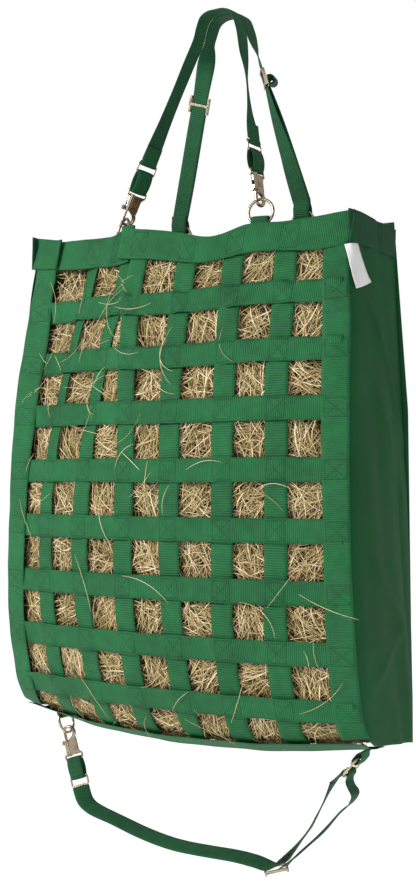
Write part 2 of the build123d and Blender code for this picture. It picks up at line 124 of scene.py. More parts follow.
def webbing(name, base, rib=2.3, crossed=False):
    """Ribbed webbing: U runs along the strap and V across it, in metres. `crossed` adds a sewn box with an X, in the UV map `seam`."""
    def build(nt, bsdf):
        uv = n_new(nt, "ShaderNodeUVMap", uv_map="weave").outputs[0]
        sep = n_new(nt, "ShaderNodeSeparateXYZ")
        nt.links.new(uv, sep.inputs[0])
        pos = n_new(nt, "ShaderNodeTexCoord").outputs["Object"]
        wob = noise(nt, pos, 60.0, 2.0)
        along = math_node(nt, "ADD", sep.outputs[0], math_node(nt, "MULTIPLY", wob, 0.0012))
        wave = math_node(nt, "SINE", math_node(nt, "MULTIPLY", along, 2 * math.pi / (rib * MM)))
        rib_h = math_node(nt, "MULTIPLY_ADD", wave, 0.5, 0.5)
        pick = math_node(nt, "SINE", math_node(nt, "MULTIPLY", sep.outputs[1], 2 * math.pi / (1.15 * MM)))
        weave = math_node(nt, "MULTIPLY", pick, wave)
        fine = noise(nt, pos, 900.0, 2.0)
        big = noise(nt, pos, 14.0, 3.0)
        mid = noise(nt, pos, 75.0, 3.0)
        tone = math_node(nt, "ADD", math_node(nt, "MULTIPLY", rib_h, 0.34), math_node(nt, "MULTIPLY", weave, 0.07))
        tone = math_node(nt, "ADD", tone, math_node(nt, "MULTIPLY_ADD", fine, 0.22, -0.11))
        tone = math_node(nt, "ADD", tone, math_node(nt, "MULTIPLY_ADD", big, 0.55, -0.12))
        tone = math_node(nt, "ADD", tone, math_node(nt, "MULTIPLY_ADD", mid, 0.36, -0.18))
        edge = math_node(nt, "ABSOLUTE", sep.outputs[1])
        height = math_node(nt, "ADD", math_node(nt, "MULTIPLY", rib_h, 0.75), math_node(nt, "MULTIPLY", weave, 0.25))
        if crossed:
            seam = n_new(nt, "ShaderNodeUVMap", uv_map="seam").outputs[0]
            s2 = n_new(nt, "ShaderNodeSeparateXYZ")
            nt.links.new(seam, s2.inputs[0])
            ax, ay = math_node(nt, "ABSOLUTE", s2.outputs[0]), math_node(nt, "ABSOLUTE", s2.outputs[1])
            inside = math_node(nt, "LESS_THAN", math_node(nt, "MAXIMUM", ax, ay), 0.84)
            box = math_node(nt, "LESS_THAN", math_node(nt, "ABSOLUTE", math_node(nt, "SUBTRACT", math_node(nt, "MAXIMUM", ax, ay), 0.80)), 0.045)
            diag = math_node(nt, "MULTIPLY", inside, math_node(nt, "LESS_THAN", math_node(nt, "ABSOLUTE", math_node(nt, "SUBTRACT", ax, ay)), 0.055))
            line = math_node(nt, "MINIMUM", math_node(nt, "ADD", box, diag), 1.0)
            dash = math_node(nt, "GREATER_THAN", math_node(nt, "SINE", math_node(nt, "MULTIPLY", math_node(nt, "ADD", s2.outputs[0], math_node(nt, "MULTIPLY", s2.outputs[1], 0.37)), 34.0)), -0.55)
            tone = math_node(nt, "SUBTRACT", tone, math_node(nt, "MULTIPLY", line, 0.30))
            tone = math_node(nt, "ADD", tone, math_node(nt, "MULTIPLY", math_node(nt, "MULTIPLY", line, dash), 0.20))
            height = math_node(nt, "SUBTRACT", height, math_node(nt, "MULTIPLY", line, 1.4))
            height = math_node(nt, "ADD", height, math_node(nt, "MULTIPLY", math_node(nt, "MULTIPLY", line, dash), 0.9))
        dark = tuple(c * 0.36 for c in base)
        light = tuple(min(1.0, c * 1.5 + 0.012) for c in base)
        nt.links.new(ramp(nt, tone, [(0.0, dark), (0.42, base), (0.95, light)]), bsdf.inputs["Base Color"])
        nt.links.new(math_node(nt, "MULTIPLY_ADD", big, 0.25, 0.52), bsdf.inputs["Roughness"])
        bump = n_new(nt, "ShaderNodeBump")
        bump.inputs["Strength"].default_value = 0.75
        bump.inputs["Distance"].default_value = 0.0007
        nt.links.new(height, bump.inputs["Height"])
        nt.links.new(bump.outputs[0], bsdf.inputs["Normal"])
    return node_mat(name, build, Specular_IOR_Level=0.22)


def cloth_mat(name, base):
    """Plain woven nylon, with soft colour drift."""
    def build(nt, bsdf):
        pos = n_new(nt, "ShaderNodeTexCoord").outputs["Object"]
        sep = n_new(nt, "ShaderNodeSeparateXYZ")
        nt.links.new(pos, sep.inputs[0])
        k = 2 * math.pi / (0.9 * MM)
        wa = math_node(nt, "SINE", math_node(nt, "MULTIPLY", math_node(nt, "ADD", sep.outputs[0], sep.outputs[1]), k))
        wb = math_node(nt, "SINE", math_node(nt, "MULTIPLY", sep.outputs[2], k))
        weave = math_node(nt, "MULTIPLY", wa, wb)
        big = noise(nt, pos, 6.0, 4.0, 0.55)
        mid = noise(nt, pos, 38.0, 3.0)
        fine = noise(nt, pos, 1200.0, 1.0)
        tone = math_node(nt, "ADD", math_node(nt, "MULTIPLY", big, 0.6), math_node(nt, "MULTIPLY", mid, 0.25))
        tone = math_node(nt, "ADD", tone, math_node(nt, "MULTIPLY", weave, 0.05))
        tone = math_node(nt, "ADD", tone, math_node(nt, "MULTIPLY_ADD", fine, 0.14, -0.07))
        nt.links.new(ramp(nt, tone, [(0.15, tuple(c * 0.6 for c in base)), (0.45, base), (0.8, tuple(c * 1.35 for c in base))]), bsdf.inputs["Base Color"])
        nt.links.new(math_node(nt, "MULTIPLY_ADD", mid, 0.2, 0.5), bsdf.inputs["Roughness"])
        bump = n_new(nt, "ShaderNodeBump")
        bump.inputs["Strength"].default_value = 0.35
        bump.inputs["Distance"].default_value = 0.0005
        nt.links.new(math_node(nt, "ADD", weave, math_node(nt, "MULTIPLY", mid, 1.2)), bump.inputs["Height"])
        nt.links.new(bump.outputs[0], bsdf.inputs["Normal"])
    return node_mat(name, build, Specular_IOR_Level=0.14)


def hay_mat(name):
    def build(nt, bsdf):
        tone = n_new(nt, "ShaderNodeAttribute", attribute_name="tone").outputs["Fac"]
        pos = n_new(nt, "ShaderNodeTexCoord").outputs["Object"]
        speck = noise(nt, pos, 260.0, 3.0)
        streak = noise(nt, pos, 35.0, 2.0)
        t = math_node(nt, "ADD", tone, math_node(nt, "MULTIPLY_ADD", speck, 0.35, -0.17))
        t = math_node(nt, "ADD", t, math_node(nt, "MULTIPLY_ADD", streak, 0.3, -0.15))
        col = ramp(nt, t, [(0.0, (0.055, 0.030, 0.012)), (0.22, (0.20, 0.125, 0.045)), (0.42, (0.30, 0.25, 0.085)),
                           (0.62, (0.47, 0.34, 0.145)), (0.82, (0.66, 0.50, 0.25)), (1.0, (0.82, 0.70, 0.45))])
        nt.links.new(col, bsdf.inputs["Base Color"])
        nt.links.new(math_node(nt, "MULTIPLY_ADD", speck, 0.25, 0.45), bsdf.inputs["Roughness"])
        bump = n_new(nt, "ShaderNodeBump")
        bump.inputs["Strength"].default_value = 0.4
        bump.inputs["Distance"].default_value = 0.0003
        nt.links.new(speck, bump.inputs["Height"])
        nt.links.new(bump.outputs[0], bsdf.inputs["Normal"])
    return node_mat(name, build)


# The core's near-black to dark browns are painted shade: they stand for the shadowed hay deep between the stalks.
def core_mat(name):
    def build(nt, bsdf):
        pos = n_new(nt, "ShaderNodeTexCoord").outputs["Object"]
        a = noise(nt, pos, 170.0, 5.0, 0.7)
        b = noise(nt, pos, 18.0, 3.0)
        t = math_node(nt, "ADD", math_node(nt, "MULTIPLY", a, 0.75), math_node(nt, "MULTIPLY", b, 0.25))
        nt.links.new(ramp(nt, t, [(0.3, (0.012, 0.007, 0.003)), (0.5, (0.055, 0.036, 0.014)), (0.72, (0.20, 0.14, 0.055))]), bsdf.inputs["Base Color"])
        bump = n_new(nt, "ShaderNodeBump")
        bump.inputs["Strength"].default_value = 0.9
        bump.inputs["Distance"].default_value = 0.004
        nt.links.new(a, bump.inputs["Height"])
        nt.links.new(bump.outputs[0], bsdf.inputs["Normal"])
    return node_mat(name, build, rough=0.9)


def metal_mat(name, base, dark):
    def build(nt, bsdf):
        pos = n_new(nt, "ShaderNodeTexCoord").outputs["Object"]
        a = noise(nt, pos, 90.0, 4.0, 0.6)
        b = noise(nt, pos, 700.0, 2.0)
        nt.links.new(ramp(nt, a, [(0.28, dark), (0.5, base), (0.75, tuple(min(1, c * 1.12) for c in base))]), bsdf.inputs["Base Color"])
        nt.links.new(math_node(nt, "MULTIPLY_ADD", math_node(nt, "MULTIPLY", a, b), 0.5, 0.13), bsdf.inputs["Roughness"])
        bump = n_new(nt, "ShaderNodeBump")
        bump.inputs["Strength"].default_value = 0.12
        bump.inputs["Distance"].default_value = 0.0003
        nt.links.new(b, bump.inputs["Height"])
        nt.links.new(bump.outputs[0], bsdf.inputs["Normal"])
    return node_mat(name, build, Metallic=1.0)


GREEN = (0.010, 0.120, 0.036)
M_NET = webbing("net_webbing", GREEN, 3.1)
M_CROSS = webbing("cross_webbing", (0.010, 0.125, 0.038), 2.6, crossed=True)
M_BAND = webbing("band_webbing", (0.009, 0.112, 0.034), 2.2)
M_STRAP = webbing("strap_webbing", (0.006, 0.078, 0.026), 2.8)
# The side and rear bands are the same webbing as the front bands with a darker base: painted shade of the bag's shaded
# sides.
M_SIDE_BAND_PAINTED_SHADE = webbing("side_band_webbing_painted_shade", (0.0045, 0.058, 0.019), 2.2)
# The side fabric's dark green is partly its own colour and partly painted shade of the bag's shaded right side; the
# left and back panels share it.
M_SIDE = cloth_mat("side_fabric", (0.005, 0.070, 0.019))
M_LABEL = cloth_mat("label_tape", (0.72, 0.72, 0.70))
M_HAY = hay_mat("hay")
M_CORE = core_mat("hay_core")
M_NICKEL = metal_mat("nickel", (0.44, 0.36, 0.26), (0.13, 0.095, 0.06))
M_STEEL = metal_mat("spring_steel", (0.55, 0.55, 0.56), (0.3, 0.3, 0.3))


# ------------------------------------------------------------------ mesh helpers (millimetres in, metres out)
def make_mesh(name, verts, faces, mat, body="bag", uv=None, seam=None, smooth=True, tone=None):
    me = bpy.data.meshes.new(name)
    me.from_pydata((np.asarray(verts, float) * MM).tolist(), [], [list(map(int, f)) for f in faces])
    if uv is not None:
        loops = np.zeros(len(me.loops), np.int32)
        me.loops.foreach_get("vertex_index", loops)
        layer = me.uv_layers.new(name="weave")
        layer.data.foreach_set("uv", (np.asarray(uv, float)[loops] * MM).astype(np.float32).ravel())
    if seam is not None:
        layer = me.uv_layers.new(name="seam")
        layer.data.foreach_set("uv", np.asarray(seam, np.float32).ravel())
    if tone is not None:
        at = me.attributes.new("tone", "FLOAT", "POINT")
        at.data.foreach_set("value", np.asarray(tone, np.float32))
    me.polygons.foreach_set("use_smooth", [smooth] * len(me.polygons))
    me.materials.append(mat)
    me.update()
    ob = bpy.data.objects.new(name, me)
    bpy.context.scene.collection.objects.link(ob)
    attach(ob, body)
    return ob


def unit(a):
    a = np.asarray(a, float)
    return a / np.maximum(np.linalg.norm(a, axis=-1, keepdims=True), 1e-9)


def ribbon(name, pts, across, widths, thick, mat, body="bag", nw=6, seams=None, crown=0.0, closed=False, u0=0.0, fray=0.0):
    """Flat webbing along pts. across: its width direction at each point. Rounded edges, closed ends.
    seams: (position along, half length) of each sewn box."""
    pts = np.asarray(pts, float)
    n = len(pts)
    if closed:
        t = unit(np.roll(pts, -1, 0) - np.roll(pts, 1, 0))
    else:
        t = unit(np.gradient(pts, axis=0))
    a = np.asarray(across, float)
    a = a if a.ndim == 2 else np.repeat(a[None], n, 0)
    a = unit(a - t * (a * t).sum(1, keepdims=True))
    nm = np.cross(t, a)
    w = np.broadcast_to(np.asarray(widths, float), (n,))
    along = u0 + np.concatenate([[0], np.cumsum(np.linalg.norm(np.diff(pts, axis=0), axis=1))])
    s = np.linspace(-1, 1, nw + 1)
    top = [(q, thick / 2 * (1 - 0.55 * abs(q) ** 8) + crown * (1 - q * q)) for q in s]
    bot = [(q, -thick / 2 * (1 - 0.55 * abs(q) ** 8) + crown * (1 - q * q)) for q in s[::-1]]
    prof = top + bot
    m = len(prof)
    verts, uv = np.zeros((n, m, 3)), np.zeros((n, m, 2))
    for j, (q, h) in enumerate(prof):
        wob = 1.0 + fray * np.sin(along * 0.9 + q * 2) if fray else 1.0
        verts[:, j] = pts + a * (q * w / 2 * wob)[:, None] + nm * h
        uv[:, j, 0] = along
        uv[:, j, 1] = q * w / 2
    faces = []
    last = n if closed else n - 1
    for i in range(last):
        for j in range(m):
            k = (j + 1) % m
            ii = (i + 1) % n
            faces.append((i * m + j, i * m + k, ii * m + k, ii * m + j))
    if not closed:
        faces.append(tuple(range(m - 1, -1, -1)))
        faces.append(tuple((n - 1) * m + j for j in range(m)))
    seam = None
    if seams is not None:
        seam = []
        centres = np.array([c for c, _ in seams], float)
        halves = np.array([h for _, h in seams], float)
        flat = uv.reshape(-1, 2)
        for f in faces:
            mid = flat[list(f), 0].mean()
            i = int(np.argmin(np.abs(centres - mid)))
            for v in f:
                q = flat[v, 1] / (w[v // m] / 2)
                seam.append(((flat[v, 0] - centres[i]) / halves[i], q))
    return make_mesh(name, verts.reshape(-1, 3), faces, mat, body, uv=uv.reshape(-1, 2), seam=seam)


def smooth_path(points, step=4.0, extra=()):
    """Evenly spaced points of a smooth curve through the given points, and any extra channels carried along."""
    p = np.asarray(points, float)
    chord = np.concatenate([[0], np.cumsum(np.linalg.norm(np.diff(p, axis=0), axis=1) ** 0.5)])
    cols = [p[:, i] for i in range(p.shape[1])] + [np.asarray(e, float) for e in extra]
    tt = np.linspace(0, chord[-1], max(8, int(np.linalg.norm(np.diff(p, axis=0), axis=1).sum() / step) + 1))
    out = [pchip(chord, c, tt) for c in cols]
    return np.stack(out[:p.shape[1]], 1), out[p.shape[1]:]


def pchip(x, y, q):
    """Smooth curve through points (Catmull-Rom tangents on uneven knots)."""
    x, y, q = np.asarray(x, float), np.asarray(y, float), np.asarray(q, float)
    h = np.diff(x)
    d = np.diff(y) / h
    m = np.empty_like(y)
    m[0], m[-1] = d[0], d[-1]
    if len(y) > 2:
        m[1:-1] = (d[:-1] * h[1:] + d[1:] * h[:-1]) / (h[1:] + h[:-1])
    i = np.clip(np.searchsorted(x, q, side="right") - 1, 0, len(h) - 1)
    t = np.clip((q - x[i]) / h[i], 0, 1)
    t2, t3 = t * t, t * t * t
    return (2 * t3 - 3 * t2 + 1) * y[i] + (t3 - 2 * t2 + t) * h[i] * m[i] + (-2 * t3 + 3 * t2) * y[i + 1] + (t3 - t2) * h[i] * m[i + 1]


def az(deg):
    return np.array([math.cos(math.radians(deg)), math.sin(math.radians(deg)), 0.0])


# ------------------------------------------------------------------ the bottom strap, a free strap
ROUTE = [(-285, 32.3, -1116), (-279.5, 31.2, -1131.5), (-268, 29, -1141.5), (-246, 25, -1147.5),
         (-205, 18, -1153), (-150, 9, -1163), (-85, -2, -1169), (-20, -13, -1166),
         (35, -22, -1162.5), (72, -28, -1163.5), (94, -32, -1167), (108, -34.5, -1162),
         (122, -37, -1147), (139.4, -40, -1129), (160, -44, -1107), (178, -49, -1080),
         (194.8, -54, -1052), (206, -57.5, -1034)]
cd = bpy.data.curves.new("strap_route", "CURVE")
cd.dimensions = "3D"
cd.resolution_u = 10
sp = cd.splines.new("NURBS")
sp.points.add(len(ROUTE) - 1)
for p, r in zip(sp.points, ROUTE):
    p.co = (r[0] * MM, r[1] * MM, r[2] * MM, 1)
sp.order_u = 3
sp.use_endpoint_u = True
tmp = bpy.data.objects.new("strap_route", cd)
line_me = bpy.data.meshes.new_from_object(tmp)
line = np.array([v.co for v in line_me.vertices], float) / MM
bpy.data.objects.remove(tmp)
bpy.data.meshes.remove(line_me)
length_mm = float(np.linalg.norm(np.diff(line, axis=0), axis=1).sum())
seg = np.concatenate([[0], np.cumsum(np.linalg.norm(np.diff(line, axis=0), axis=1))])
at = np.linspace(0, seg[-1], 150)
cord_pts = np.stack([np.interp(at, seg, line[:, i]) for i in range(3)], 1)
f = at / at[-1]
# Which way the strap's width points along it: level and to the rear at the snap end, standing on edge under the bag.
key = [0, .035, .08, .16, .26, .40, .55, .64, .69, .74, .80, .88, .95, 1.0]
dirs = [(0.75, 0.60, 0.05), (0.62, 0.75, 0.15), (0.25, 0.87, 0.40), (0.12, 0.92, 0.34), (0.10, 0.92, 0.37), (0.05, 0.91, 0.40), (0.03, 0.91, 0.41),
        (0.05, 0.92, 0.38), (0.25, 0.94, 0.24), (0.20, 0.97, 0.0), (-0.25, 0.96, -0.05), (-0.46, 0.88, 0.0), (-0.36, 0.93, 0.0), (-0.10, 0.99, 0.0)]
cord_across = unit(np.stack([np.interp(f, key, [d[i] for d in dirs]) for i in range(3)], 1))
strap = ribbon("bottom_strap_web", cord_pts, cord_across, 25.4, 1.9, M_STRAP, crown=0.5, nw=8)
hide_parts("bottom_strap")

# ------------------------------------------------------------------ the bag's surface
PROFILE = [(-72, -304), (-82, -338), (-92, -374), (-102, -411), (-111, -448), (-119, -486), (-125, -523), (-130.5, -561),
           (-134.5, -600), (-137, -639), (-138, -678), (-138, -716), (-136.5, -755), (-134.5, -794), (-131, -833),
           (-124, -871), (-115, -908), (-104, -945), (-88, -978), (-70, -999), (-45, -1010), (-10, -1015), (30, -1013), (61, -1005)]
PK = list(range(24))
# The net's sixteen edges across its width, left to right: border, six straps, border. Rows of (step, x of each edge, depth behind the smooth bulge).
GRID = [
    (0,   [-312, -250, -192, -168, -122, -99, -104, -73, -22, 10, 52, 84, 126, 158, 194, 226], [0, 3, 8, -2, 2, 4, 2, 2, 0, 0, 0, 0, 0, 0, 0, 0]),
    (2,   [-310, -247, -190, -168, -120, -99, -105, -74, -20, 12, 54, 85, 129, 161, 197, 229], [-1, 6, 14, 0, 4, 5, -8, -4, 0, 0, 0, 0, 0, 0, 0, 0]),
    (4,   [-300, -247, -198, -180, -134, -114, -100, -70, -20, 12, 59, 90, 135, 166, 206, 241], [-3, 12, 19, 5, 10, 3, -5, -5, 0, 0, 0, 0, 0, 0, 0, 0]),
    (6,   [-304, -254, -212, -194, -145, -123, -95, -65, -20, 13, 62, 94, 135, 167, 212, 246], [3, 18, 18, 5, 14, 6, 0, 0, 0, 0, 0, 0, 0, 0, 0, 0]),
    (8,   [-306, -261, -225, -203, -156, -131, -87, -58, -16, 16, 65, 96, 140, 172, 216, 250], [8, 18, 14, 5, 11, 5, 3, 0, 0, 0, 0, 0, 0, 0, 0, 0]),
    (10,  [-308, -268, -237, -211, -166, -136, -89, -57, -14, 18, 67, 98, 142, 173, 219, 252], [8, 9, 3, -2, 0, 0, 0, 0, 0, 0, 0, 0, 0, 0, 0, 0]),
    (12,  [-312, -274, -241, -214, -172, -141, -92, -60, -14, 18, 66, 97, 141, 172, 220, 253], [5, 6, 0, -4, -3, -2, 0, 0, 0, 0, 0, 0, 0, 0, 0, 0]),
    (14,  [-318, -281, -244, -213, -168, -137, -92, -60, -14, 18, 63, 94, 137, 168, 219, 254], [0, 0, 0, 0, 0, 0, 0, 0, 0, 0, 0, 0, 0, 0, 0, 0]),
    (16,  [-324, -287, -245, -214, -168, -137, -92, -60, -14, 18, 62, 93, 135, 167, 217, 252], [0, 0, 0, 0, 0, 0, 0, 0, 0, 0, 0, 0, 0, 0, 0, 0]),
    (18,  [-328, -291, -246, -214, -168, -136, -92, -60, -15, 17, 60, 92, 133, 165, 215, 250], [0] * 16),
    (20,  [-326, -290, -246, -214, -168, -136, -92, -60, -15, 17, 60, 92, 133, 165, 215, 248], [0] * 16),
    (23,  [-324, -288, -246, -214, -168, -136, -92, -60, -15, 17, 60, 92, 133, 165, 215, 247], [0] * 16),
]
GK = [g[0] for g in GRID]
GX = np.array([g[1] for g in GRID], float)
GD = np.array([g[2] for g in GRID], float)
AWAY = np.array([-0.566, 0.824, 0.0])


def base_surf(x, k):
    x, k = np.broadcast_arrays(np.asarray(x, float), np.asarray(k, float))
    y = pchip(PK, [p[0] for p in PROFILE], k.ravel()).reshape(k.shape)
    z = pchip(PK, [p[1] for p in PROFILE], k.ravel()).reshape(k.shape)
    g = (x + 30.0) ** 2 / 2030.0
    under = np.interp(k, [17, 20], [0, 1])
    fade = np.interp(k, [19, 23], [1, 0])
    return np.stack([x, y + g * fade, z + 0.5 * g * under], -1)


def G(a, k):
    """Point of the net's surface at edge index a (0 to 15) and step k."""
    a, k = np.broadcast_arrays(np.asarray(a, float), np.asarray(k, float))
    shape = a.shape
    a, k = a.ravel(), k.ravel()
    xs = np.stack([pchip(GK, GX[:, i], k) for i in range(16)], 1)
    ds = np.stack([pchip(GK, GD[:, i], k) for i in range(16)], 1)
    i = np.clip(a.astype(int), 0, 14)
    t = np.clip(a - i, 0, 1)
    r = np.arange(len(a))
    x = xs[r, i] * (1 - t) + xs[r, i + 1] * t
    ts = t * t * (3 - 2 * t)
    d = ds[r, i] * (1 - ts) + ds[r, i + 1] * ts
    return (base_surf(x, k) + AWAY * d[:, None]).reshape(*shape, 3)


def G_normal(a, k):
    """Outward normal of the smooth bulge at (a, k)."""
    p = G(a, k)
    x = p[..., 0]
    kk = np.broadcast_to(np.asarray(k, float), x.shape)
    dk = base_surf(x, np.minimum(kk + 0.4, 23)) - base_surf(x, np.maximum(kk - 0.4, 0))
    dx = base_surf(x + 3, kk) - base_surf(x - 3, kk)
    return unit(np.cross(dk, dx))


def wav(seed, s, amp, period):
    """A smooth, seeded wave along a strap."""
    r = random.Random(seed)
    ph = [r.uniform(0, 6.28) for _ in range(4)]
    return amp * (0.5 * np.sin(s / period * 6.28 + ph[0]) + 0.3 * np.sin(s / period * 13.1 + ph[1]) + 0.25 * np.sin(s / period * 2.9 + ph[2]))


# ------------------------------------------------------------------ the net
K_START = [0.55, 0.5, 0.95, 1.0, 0.95, 0.7]
for i in range(6):
    ks = np.arange(K_START[i], 22.76, 0.15)
    aL, aR = 2 + 2 * i, 3 + 2 * i
    L, R = G(np.full_like(ks, aL), ks), G(np.full_like(ks, aR), ks)
    c = (L + R) / 2
    nrm = G_normal(np.full_like(ks, aL + 0.5), ks)
    # the hay pushes each strap out a little between the cross straps, and the crossing holds it in
    phase = np.cos((ks - 3) * math.pi)
    c = c + nrm * (-0.9 - 0.9 * phase)[:, None] + nrm * wav(40 + i, ks, 0.6, 5.0)[:, None]
    front = 1.0 if i == 2 else 0.0
    c = c + nrm * (front * np.interp(ks, [1.5, 3, 6], [0, 0.6, 0]))[:, None]
    w = np.clip(np.linalg.norm(R - L, axis=1), 27.5, 32.0)
    ob = ribbon(f"net_vertical_web_{i + 1}", c, R - L, w, 1.3, M_NET, nw=6, crown=0.25)
    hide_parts(f"net_vertical_strap_{i + 1}")

SAG = {1: (0.10, 0.9), 2: (0.07, 0.7), 3: (0.03, 0.5), 4: (0.02, 0.4), 5: (0.0, 0.35), 6: (0.0, 0.3), 7: (0.0, 0.3), 8: (0.0, 0.3)}
for j in range(8):
    k0 = 3 + 2 * j
    aa = np.arange(0.25, 14.76, 0.125)
    bias, wild = SAG[j + 1]
    kk = k0 + bias * np.sin((aa - 6) / 4.5 * math.pi) * np.interp(aa, [0, 4, 6, 12, 15], [0, 0.3, 1, 0.6, 0])
    over = ((aa.astype(int) % 2) == 0).astype(float)          # 1 on a strap, 0 over a window
    over = np.convolve(np.pad(over, 2, mode="edge"), [.1, .2, .4, .2, .1], "same")[2:-2]
    nrm = G_normal(aa, kk)
    lift = 1.1 + 1.4 * over + wav(60 + j, aa, 1.6 * wild, 2.4) * (1 - over)
    pts = G(aa, kk) + nrm * lift[:, None]
    up = G(aa, kk - 0.3) - G(aa, kk + 0.3)
    tilt = wav(90 + j, aa, 0.35 * wild, 2.2)
    acr = unit(-up) + nrm * tilt[:, None]
    run = np.concatenate([[0], np.cumsum(np.linalg.norm(np.diff(pts, axis=0), axis=1))])
    seams = [(float(np.interp(2.5 + 2 * i, aa, run)), 15.5) for i in range(6)]
    ob = ribbon(f"net_cross_web_{j + 1}", pts, acr, 31.75, 1.3, M_CROSS, nw=6, crown=0.3, seams=seams)
    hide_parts(f"net_horizontal_strap_{j + 1}")

kb = np.arange(0.6, 18.31, 0.15)
for name, a1, a2, seed in (("left", 0, 1, 3), ("right", 14, 15, 4)):
    L, R = G(np.full_like(kb, a1), kb), G(np.full_like(kb, a2), kb)
    nrm = G_normal(np.full_like(kb, a1 + 0.5), kb)
    c = (L + R) / 2 + nrm * (3.0 + wav(seed, kb, 0.7, 3.0))[:, None]
    w = np.clip(np.linalg.norm(R - L, axis=1), 33, 44) + 1.5
    run = np.concatenate([[0], np.cumsum(np.linalg.norm(np.diff(c, axis=0), axis=1))])
    seams = [(float(np.interp(3 + 2 * q, kb, run)), 15.0) for q in range(8)]
    ob = ribbon(f"net_border_web_{name}", c, R - L, w, 1.4, M_CROSS, nw=8, crown=0.6, seams=seams)
    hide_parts(f"net_border_{name}")

for name, node, k0, width in (("net_hem_web", "net_bottom_hem", 19.45, 36.0), ("underside_web", "underside_cross_strap", 21.0, 31.75),
                              ("underside_rear_web", "underside_rear_hem", 22.55, 24.0)):
    aa = np.arange(0.05, 14.80, 0.125)
    nrm = G_normal(aa, np.full_like(aa, k0))
    pts = G(aa, np.full_like(aa, k0)) + nrm * (1.9 + wav(len(name), aa, 1.0, 4.0))[:, None]
    acr = G(aa, np.full_like(aa, min(k0 + 0.3, 23))) - G(aa, np.full_like(aa, k0 - 0.3))
    run = np.concatenate([[0], np.cumsum(np.linalg.norm(np.diff(pts, axis=0), axis=1))])
    ob = ribbon(name, pts, acr, width, 1.4, M_CROSS, nw=6, crown=0.5, seams=[(float(np.interp(2.5 + 2 * i, aa, run)), 15.5) for i in range(6)])
    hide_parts(node)


# ------------------------------------------------------------------ the mouth bands
def band(name, xs, tops, bots, lift, mat=M_BAND, step=5.0, rim_roll=1.6, waves=(1.5, 60.0), seed=1, seams=None):
    """A folded band on the front: outer face, rolled rim and inner face."""
    x = np.arange(xs[0], xs[-1] + 0.1, step)
    x[-1] = xs[-1]
    top, bot = pchip(xs, tops, x), pchip(xs, bots, x)
    k_top, k_bot = (-304 - top) / 34.0, (-304 - bot) / 34.0
    rows = 9
    verts, uv = [], []
    run = 0.0
    out = []
    for i, xx in enumerate(x):
        q = np.linspace(0, 1, rows)
        zz = bot[i] + (top[i] - bot[i]) * q
        kk = np.clip((-304 - zz) / 34.0, 0, 3)
        p = base_surf(np.full(rows, xx), kk)
        n = unit(np.cross(base_surf(xx, 1.4) - base_surf(xx, 0.2), base_surf(xx + 3, 0.8) - base_surf(xx - 3, 0.8)))
        if np.dot(n, (0, -1, 0)) < 0:
            n = -n
        w = waves[0] * (math.sin(xx / waves[1] * 6.28 + seed) + 0.5 * math.sin(xx / waves[1] * 14.0 + 2.1 * seed)) * (0.35 + 0.65 * q)
        extra = np.where(zz > -304, 0, 0)
        face = p + n * (np.broadcast_to(lift(xx) if callable(lift) else lift, (rows,)) + w + extra)[:, None]
        face[:, 2] = zz
        inner = face[::-1] - n * 2.8
        inner[0, 2] = face[-1, 2]
        rim = face[-1] - n * 1.4 + np.array([0, 0, rim_roll * 0.6])
        out.append(np.concatenate([face, [rim], inner]))
    out = np.array(out)
    n, m = out.shape[:2]
    run = np.concatenate([[0], np.cumsum(np.linalg.norm(np.diff(out[:, 4], axis=0), axis=1))])
    vv = np.concatenate([np.linspace(-24, 24, rows), [25.5], np.linspace(27, 75, rows)])
    uv = np.stack(np.broadcast_arrays(run[:, None], vv[None, :]), -1)
    faces = []
    for i in range(n - 1):
        for j in range(m):
            k = (j + 1) % m
            faces.append((i * m + j, (i + 1) * m + j, (i + 1) * m + k, i * m + k))
    faces.append(tuple(range(m)))
    faces.append(tuple((n - 1) * m + j for j in range(m - 1, -1, -1)))
    seam = None
    if seams:
        seam, flat = [], uv.reshape(-1, 2)
        cs = np.array([float(np.interp(sx, x, run)) for sx in seams])
        for f_ in faces:
            mid = flat[list(f_), 0].mean()
            q = int(np.argmin(np.abs(cs - mid)))
            for v in f_:
                seam.append(((flat[v, 0] - cs[q]) / 16.0, flat[v, 1] / 24.0))
    return make_mesh(name, out.reshape(-1, 3), faces, mat, "bag", uv=uv.reshape(-1, 2), seam=seam)


right_x = [-124, -116, -106, -75, -37, -7, 17, 33, 44, 59, 79, 92, 103, 122, 150, 190, 228]
right_top = [-296, -297.5, -301, -306, -312.5, -319.5, -325, -326, -324, -319.5, -314.5, -313, -312.5, -314, -312.5, -309.5, -304]
right_bot = [-343, -343.5, -344.5, -347.5, -353, -358, -361, -361, -359.5, -357.5, -354, -353, -352, -352.5, -354, -355.5, -348]
b1 = band("top_band_web", right_x, right_top, right_bot, lambda x: 5.0 + 3.5 * math.exp(-((x + 122) / 14.0) ** 2), mat=M_CROSS,
          waves=(1.5, 95.0), seed=1.3, seams=[-88, -4, 70, 146])
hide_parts("top_band_front")
left_x = [-310, -285, -247, -215, -192, -160, -140, -126, -114, -106]
left_top = [-296, -300, -303.5, -305.5, -306.5, -308, -307, -298, -294, -296]
left_bot = [-339, -342, -346, -349, -350, -351, -352, -351, -349, -348]
b2 = band("top_band_web_left", left_x, left_top, left_bot, lambda x: 2.6 - 2.5 * math.exp(-((x + 125) / 12.0) ** 2), mat=M_CROSS,
          waves=(1.3, 70.0), seed=2.2, seams=[-178, -128])
wrap_x = [-314, -300, -280, -262, -251]
b3 = band("side_band_end", wrap_x, [-291, -293.5, -297, -300, -300.5], [-338, -339.5, -342, -343, -344],
          lambda x: 6.4 + 1.8 * math.exp(-((x + 251) / 9.0) ** 2), waves=(0.9, 80.0), seed=0.4)

